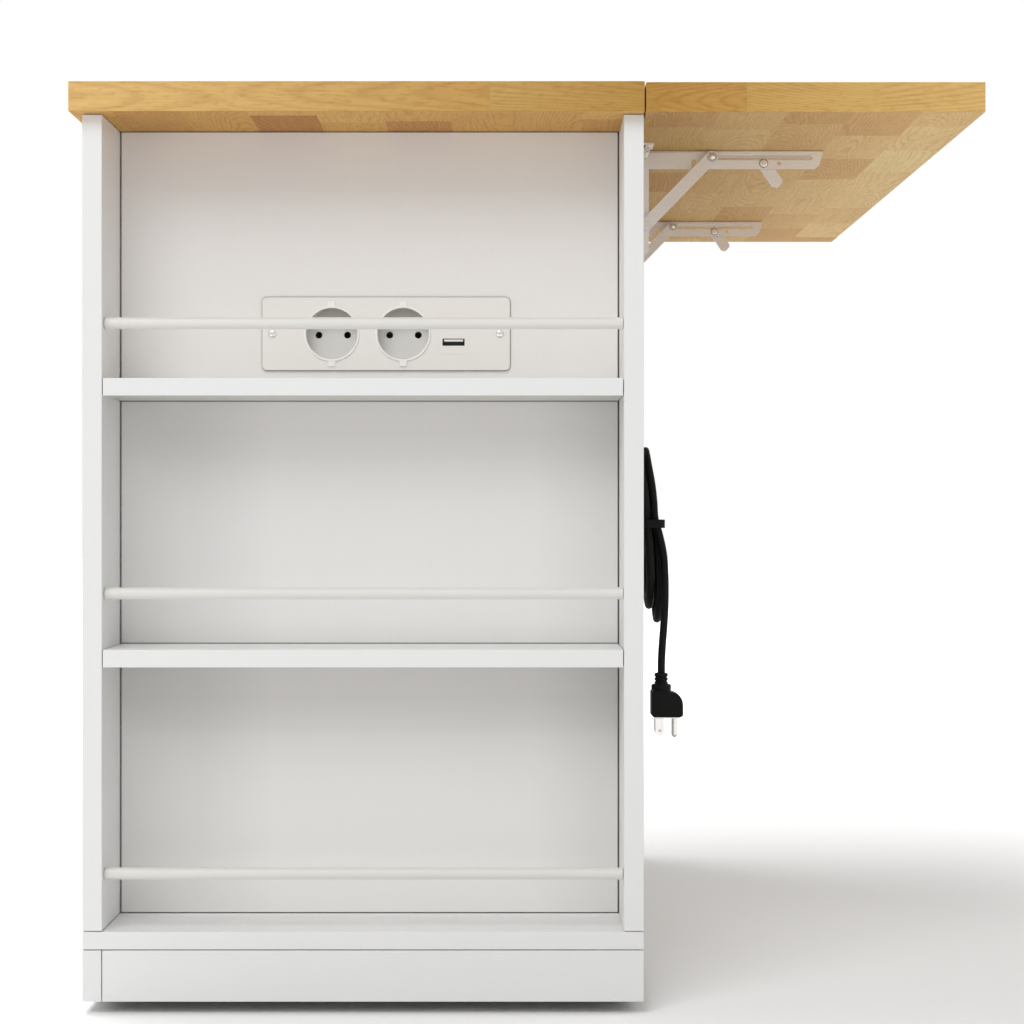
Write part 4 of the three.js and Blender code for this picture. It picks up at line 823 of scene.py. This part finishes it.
for part in ("cord_tie", "plug_body"):
    ease(part, cord_rubber, 0.5)
ease("inner_lead", cord_rubber, 0.3)
ease("plug_pins", nickel_plate, 0.25)
print("Metal, plastic and rubber parts eased")

# %% [markdown]
# ## Rings of painted shade, and the insert's frame
#
# A dark line runs round each rivet head and round the outlet's plate, where shade falls. A thin
# ring of dull dark steel lies round each head, and a grey ring shows as a hair's breadth past the
# plate's edge: both are painted shade. The charging insert has a hairline frame. All are flat
# rings: the same four loops of points, joined into a front, a back and two walls.

# %% A flat ring between two outlines
def flat_ring(name, outer, inner, front, thickness, finish, body, slot_name):
    """A ring that faces along -Y. The outlines are lists of (x, z), all in millimetres."""
    shape = bmesh.new()
    loops = [[shape.verts.new((x * MM, y * MM, z * MM)) for x, z in outline]
             for outline, y in ((outer, front), (inner, front), (inner, front + thickness),
                                (outer, front + thickness))]
    for here, there in zip(loops, loops[1:] + loops[:1]):
        for index in range(len(outer)):
            after = (index + 1) % len(outer)
            shape.faces.new((here[index], here[after], there[after], there[index]))
    bmesh.ops.recalc_face_normals(shape, faces=shape.faces)
    return show_piece(name, shape, [finish], body)


def round_corners(half_width, half_height, radius, middle, steps=6):
    """The outline of a rectangle with round corners, counted anticlockwise."""
    corners = [(1, 1, 0), (-1, 1, 90), (-1, -1, 180), (1, -1, 270)]
    outline = []
    for side, level, start in corners:
        for step in range(steps + 1):
            angle = math.radians(start + 90 * step / steps)
            outline.append((middle[0] + side * (half_width - radius) + radius * math.cos(angle),
                            middle[1] + level * (half_height - radius) + radius * math.sin(angle)))
    return outline


# %% Round the plate and the rivets
PLATE_CORNER = 5.0
# a thin grey ring past the plate's edge, painted shadow for the plate's outline
SHADOW_LINE_GAP, SHADOW_LINE_SHOW, SHADOW_LINE_THICKNESS = 0.05, 0.55, 0.9
plate_low, plate_high = (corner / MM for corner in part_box("outlet_plate"))
plate_middle = (plate_low + plate_high) / 2
plate_half = (plate_high - plate_low) / 2
shadow_line_outlines = [round_corners(plate_half.x + grow, plate_half.z + grow, PLATE_CORNER + grow,
                              (plate_middle.x, plate_middle.z))
                for grow in (SHADOW_LINE_GAP + SHADOW_LINE_SHOW, SHADOW_LINE_GAP)]
flat_ring("outlet_shadow_line", *shadow_line_outlines, plate_high.y - SHADOW_LINE_THICKNESS, SHADOW_LINE_THICKNESS,
          shadow_line_grey, "cabinet", "outlet_plastic")

FRAME_GROWTH, FRAME_CORNER, FRAME_SET_BACK, FRAME_THICKNESS = (0.33, 0.02), 0.2, 0.2, 1.5
usb_low, usb_high = (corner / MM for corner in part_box("usb_module"))
usb_middle, usb_half = (usb_low + usb_high) / 2, (usb_high - usb_low) / 2
usb_lines = [round_corners(usb_half.x + grow, usb_half.z + grow, FRAME_CORNER,
                           (usb_middle.x, usb_middle.z), 1) for grow in FRAME_GROWTH]
flat_ring("usb_bezel", *usb_lines, plate_low.y + FRAME_SET_BACK, FRAME_THICKNESS, outlet_plastic,
          "cabinet", "outlet_plastic")

# thin dark rings of painted shade round the rivet heads
SHADE_RING_THICKNESS = 0.15
BRACE_SHADE_RING, BRACE_HEAD_SHADE_RING, LEVER_SHADE_RING = (5.25, 4.85), (3.9, 3.55), (4.95, 4.45)
for end in ("near", "far"):
    brace_mesh = PARTS[f"bracket_brace_{end}"].data
    tip = min(brace_mesh.vertices, key=lambda vert: vert.co.y).co / MM
    arm_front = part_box(f"bracket_arm_{end}")[0].y / MM
    rivet_low, rivet_high = (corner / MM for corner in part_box(f"bracket_lever_rivet_{end}"))
    rivet_middle = (rivet_low + rivet_high) / 2
    brace_front = tip.y + BRACE_HEAD_HEIGHT
    for name, place, front, radii, body in (
            ("brace", tip, brace_front, BRACE_SHADE_RING, f"brace_{end}"),
            ("brace_head", tip, brace_front, BRACE_HEAD_SHADE_RING, f"brace_{end}"),
            ("lever", rivet_middle, arm_front, LEVER_SHADE_RING, "leaf")):
        rings = [round_corners(radius, radius, radius, (place.x, place.z)) for radius in radii]
        flat_ring(f"{name}_shade_ring_{end}", *rings, front - SHADE_RING_THICKNESS, SHADE_RING_THICKNESS,
                  rim_shade_steel, body, "rivet_steel")
# the rings round the heads and round the plate are painted shade
print("Washers and gasket added")

# %% [markdown]
# ## The charging ports
#
# Each port is a black pocket with a white tongue in its upper half. They are part of one moulded
# insert, so the eased copy gets three finishes, and each face takes the one for where it lies:
# inside the pocket's walls it is black, on the tongue white.

# %% Paint the pockets
PORT_CENTRES = (-8.8, 8.8)
PORT_HALF = (11.6, 3.8)
TONGUE = (9.95, 0.75, 3.05)
POCKET_START, POCKET_FLOOR = 0.3, 11.5

insert_low, insert_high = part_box("usb_module")
insert_middle = (insert_low + insert_high) / 2
insert = eased_shape("usb_module", 0.05)
for face in insert.faces:
    place = face.calc_center_median()
    across = (place.x - insert_middle.x) / MM
    depth = (place.y - insert_low.y) / MM
    for centre in PORT_CENTRES:
        rise = (place.z - insert_middle.z) / MM - centre
        if depth < POCKET_START or abs(across) > PORT_HALF[0] or abs(rise) > PORT_HALF[1]:
            continue
        on_tongue = abs(across) < TONGUE[0] and TONGUE[1] < rise < TONGUE[2]
        face.material_index = 2 if on_tongue and depth < POCKET_FLOOR else 1
usb_piece = show_piece("usb_module_eased", insert, [outlet_plastic, port_black, port_white],
                       BODY_OF["usb_module"])
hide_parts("usb_module")

# %% [markdown]
# ## Screws
#
# Two pan head screws hold the outlet's plate, and smaller ones hold the brackets and hinges to
# the cabinet and the leaf. A head is a short profile spun round its axis. Its cross recess is cut
# with planes on either side of both bars, and the faces between them are pushed in.


# %% A screw head with a cross recess
def screw_head(radius, height):
    """A pan head on the plane z = 0, its axis along z, in millimetres."""
    shape = bmesh.new()
    profile = [(0, height), (0.55 * radius, 0.94 * height), (0.85 * radius, 0.72 * height),
               (0.98 * radius, 0.38 * height), (radius, 0), (0, 0)]
    points = [shape.verts.new((x * MM, 0, z * MM)) for x, z in profile]
    rim = [shape.edges.new(pair) for pair in zip(points, points[1:])]
    bmesh.ops.spin(shape, geom=points + rim, cent=(0, 0, 0), axis=(0, 0, 1),
                   angle=math.radians(360), steps=24, use_merge=True)
    bmesh.ops.remove_doubles(shape, verts=shape.verts, dist=1e-6)
    bmesh.ops.recalc_face_normals(shape, faces=shape.faces)
    half_width, half_length = 0.14 * radius * MM, 0.62 * radius * MM
    for way in (Vector((1, 0, 0)), Vector((0, 1, 0))):
        for reach in (-half_length, -half_width, half_width, half_length):
            bmesh.ops.bisect_plane(shape, geom=[*shape.verts, *shape.edges, *shape.faces],
                                   plane_co=way * reach, plane_no=way, dist=1e-7)
    recess = []
    for face in shape.faces:
        place = face.calc_center_median()
        bars = sorted((abs(place.x), abs(place.y)))
        if face.normal.z > 0.3 and bars[0] < half_width and bars[1] < half_length:
            recess.append(face)
    pushed = bmesh.ops.extrude_face_region(shape, geom=recess)["geom"]
    bmesh.ops.delete(shape, geom=recess, context="FACES")
    moved = [item for item in pushed if isinstance(item, bmesh.types.BMVert)]
    bmesh.ops.translate(shape, verts=moved, vec=(0, 0, -0.5 * height * MM))
    return shape


def add_screws(name, places, facing, radius, height, finish, body):
    """One piece with a screw head at each place, all facing the same way. Millimetres."""
    turn = Vector((0, 0, 1)).rotation_difference(Vector(facing)).to_matrix().to_4x4()
    one = screw_head(radius, height)
    pattern = bpy.data.meshes.new(name)
    one.to_mesh(pattern)
    one.free()
    screws = bmesh.new()
    for index, place in enumerate(places):
        count = len(screws.verts)
        screws.from_mesh(pattern)
        screws.verts.ensure_lookup_table()
        fresh = screws.verts[count:]
        spin = Matrix.Rotation(math.radians(20 + 55 * index), 4, "Z")
        bmesh.ops.transform(screws, verts=fresh,
                            matrix=Matrix.Translation(Vector(place) * MM) @ turn @ spin)
    bpy.data.meshes.remove(pattern)
    return show_piece(name, screws, [finish], body)


# %% The outlet's screws
OUTLET_SCREW_REACH, OUTLET_SCREW_RADIUS, OUTLET_SCREW_HEIGHT = 118.5, 4.2, 1.8
outlet_places = [(plate_middle.x + side * OUTLET_SCREW_REACH, plate_low.y, plate_middle.z)
                 for side in (-1, 1)]
add_screws("outlet_screws", outlet_places, (0, -1, 0), OUTLET_SCREW_RADIUS, OUTLET_SCREW_HEIGHT,
           nickel_plate, "cabinet")

# %% The brackets' and the hinges' screws
SCREW_RADIUS, SCREW_HEIGHT = 3.4, 1.3
SHEET = 2.0
ARM_SCREW_REACHES, ARM_SCREW_INSET = (45, 105, 168), 11
WALL_SCREW_DROPS, WALL_SCREW_INSET = (34, 106), -9.5
HINGE_SCREW_SIDE, HINGE_SCREW_RISE = 9, 9
for end in ("near", "far"):
    arm_low, arm_high = (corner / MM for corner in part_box(f"bracket_arm_{end}"))
    flange_y, under = arm_low.y + ARM_SCREW_INSET, arm_high.z - SHEET
    add_screws(f"arm_screws_{end}",
               [(arm_low.x + reach, flange_y, under) for reach in ARM_SCREW_REACHES],
               (0, 0, -1), SCREW_RADIUS, SCREW_HEIGHT, plated_steel, "leaf")
    wall_low, wall_high = (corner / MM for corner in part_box(f"bracket_wall_plate_{end}"))
    add_screws(f"wall_plate_screws_{end}",
               [(wall_low.x + SHEET, arm_low.y + WALL_SCREW_INSET, wall_high.z - drop)
                for drop in WALL_SCREW_DROPS],
               (1, 0, 0), SCREW_RADIUS, SCREW_HEIGHT, plated_steel, "cabinet")
    hinge_low, hinge_high = (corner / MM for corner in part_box(f"leaf_hinge_wall_half_{end}"))
    hinge_y = (hinge_low.y + hinge_high.y) / 2
    add_screws(f"hinge_screws_{end}",
               [(hinge_low.x + SHEET, hinge_y + side * HINGE_SCREW_SIDE,
                 hinge_low.z + HINGE_SCREW_RISE) for side in (-1, 1)],
               (1, 0, 0), SCREW_RADIUS, SCREW_HEIGHT, plated_steel, "cabinet")
print("Screws added")
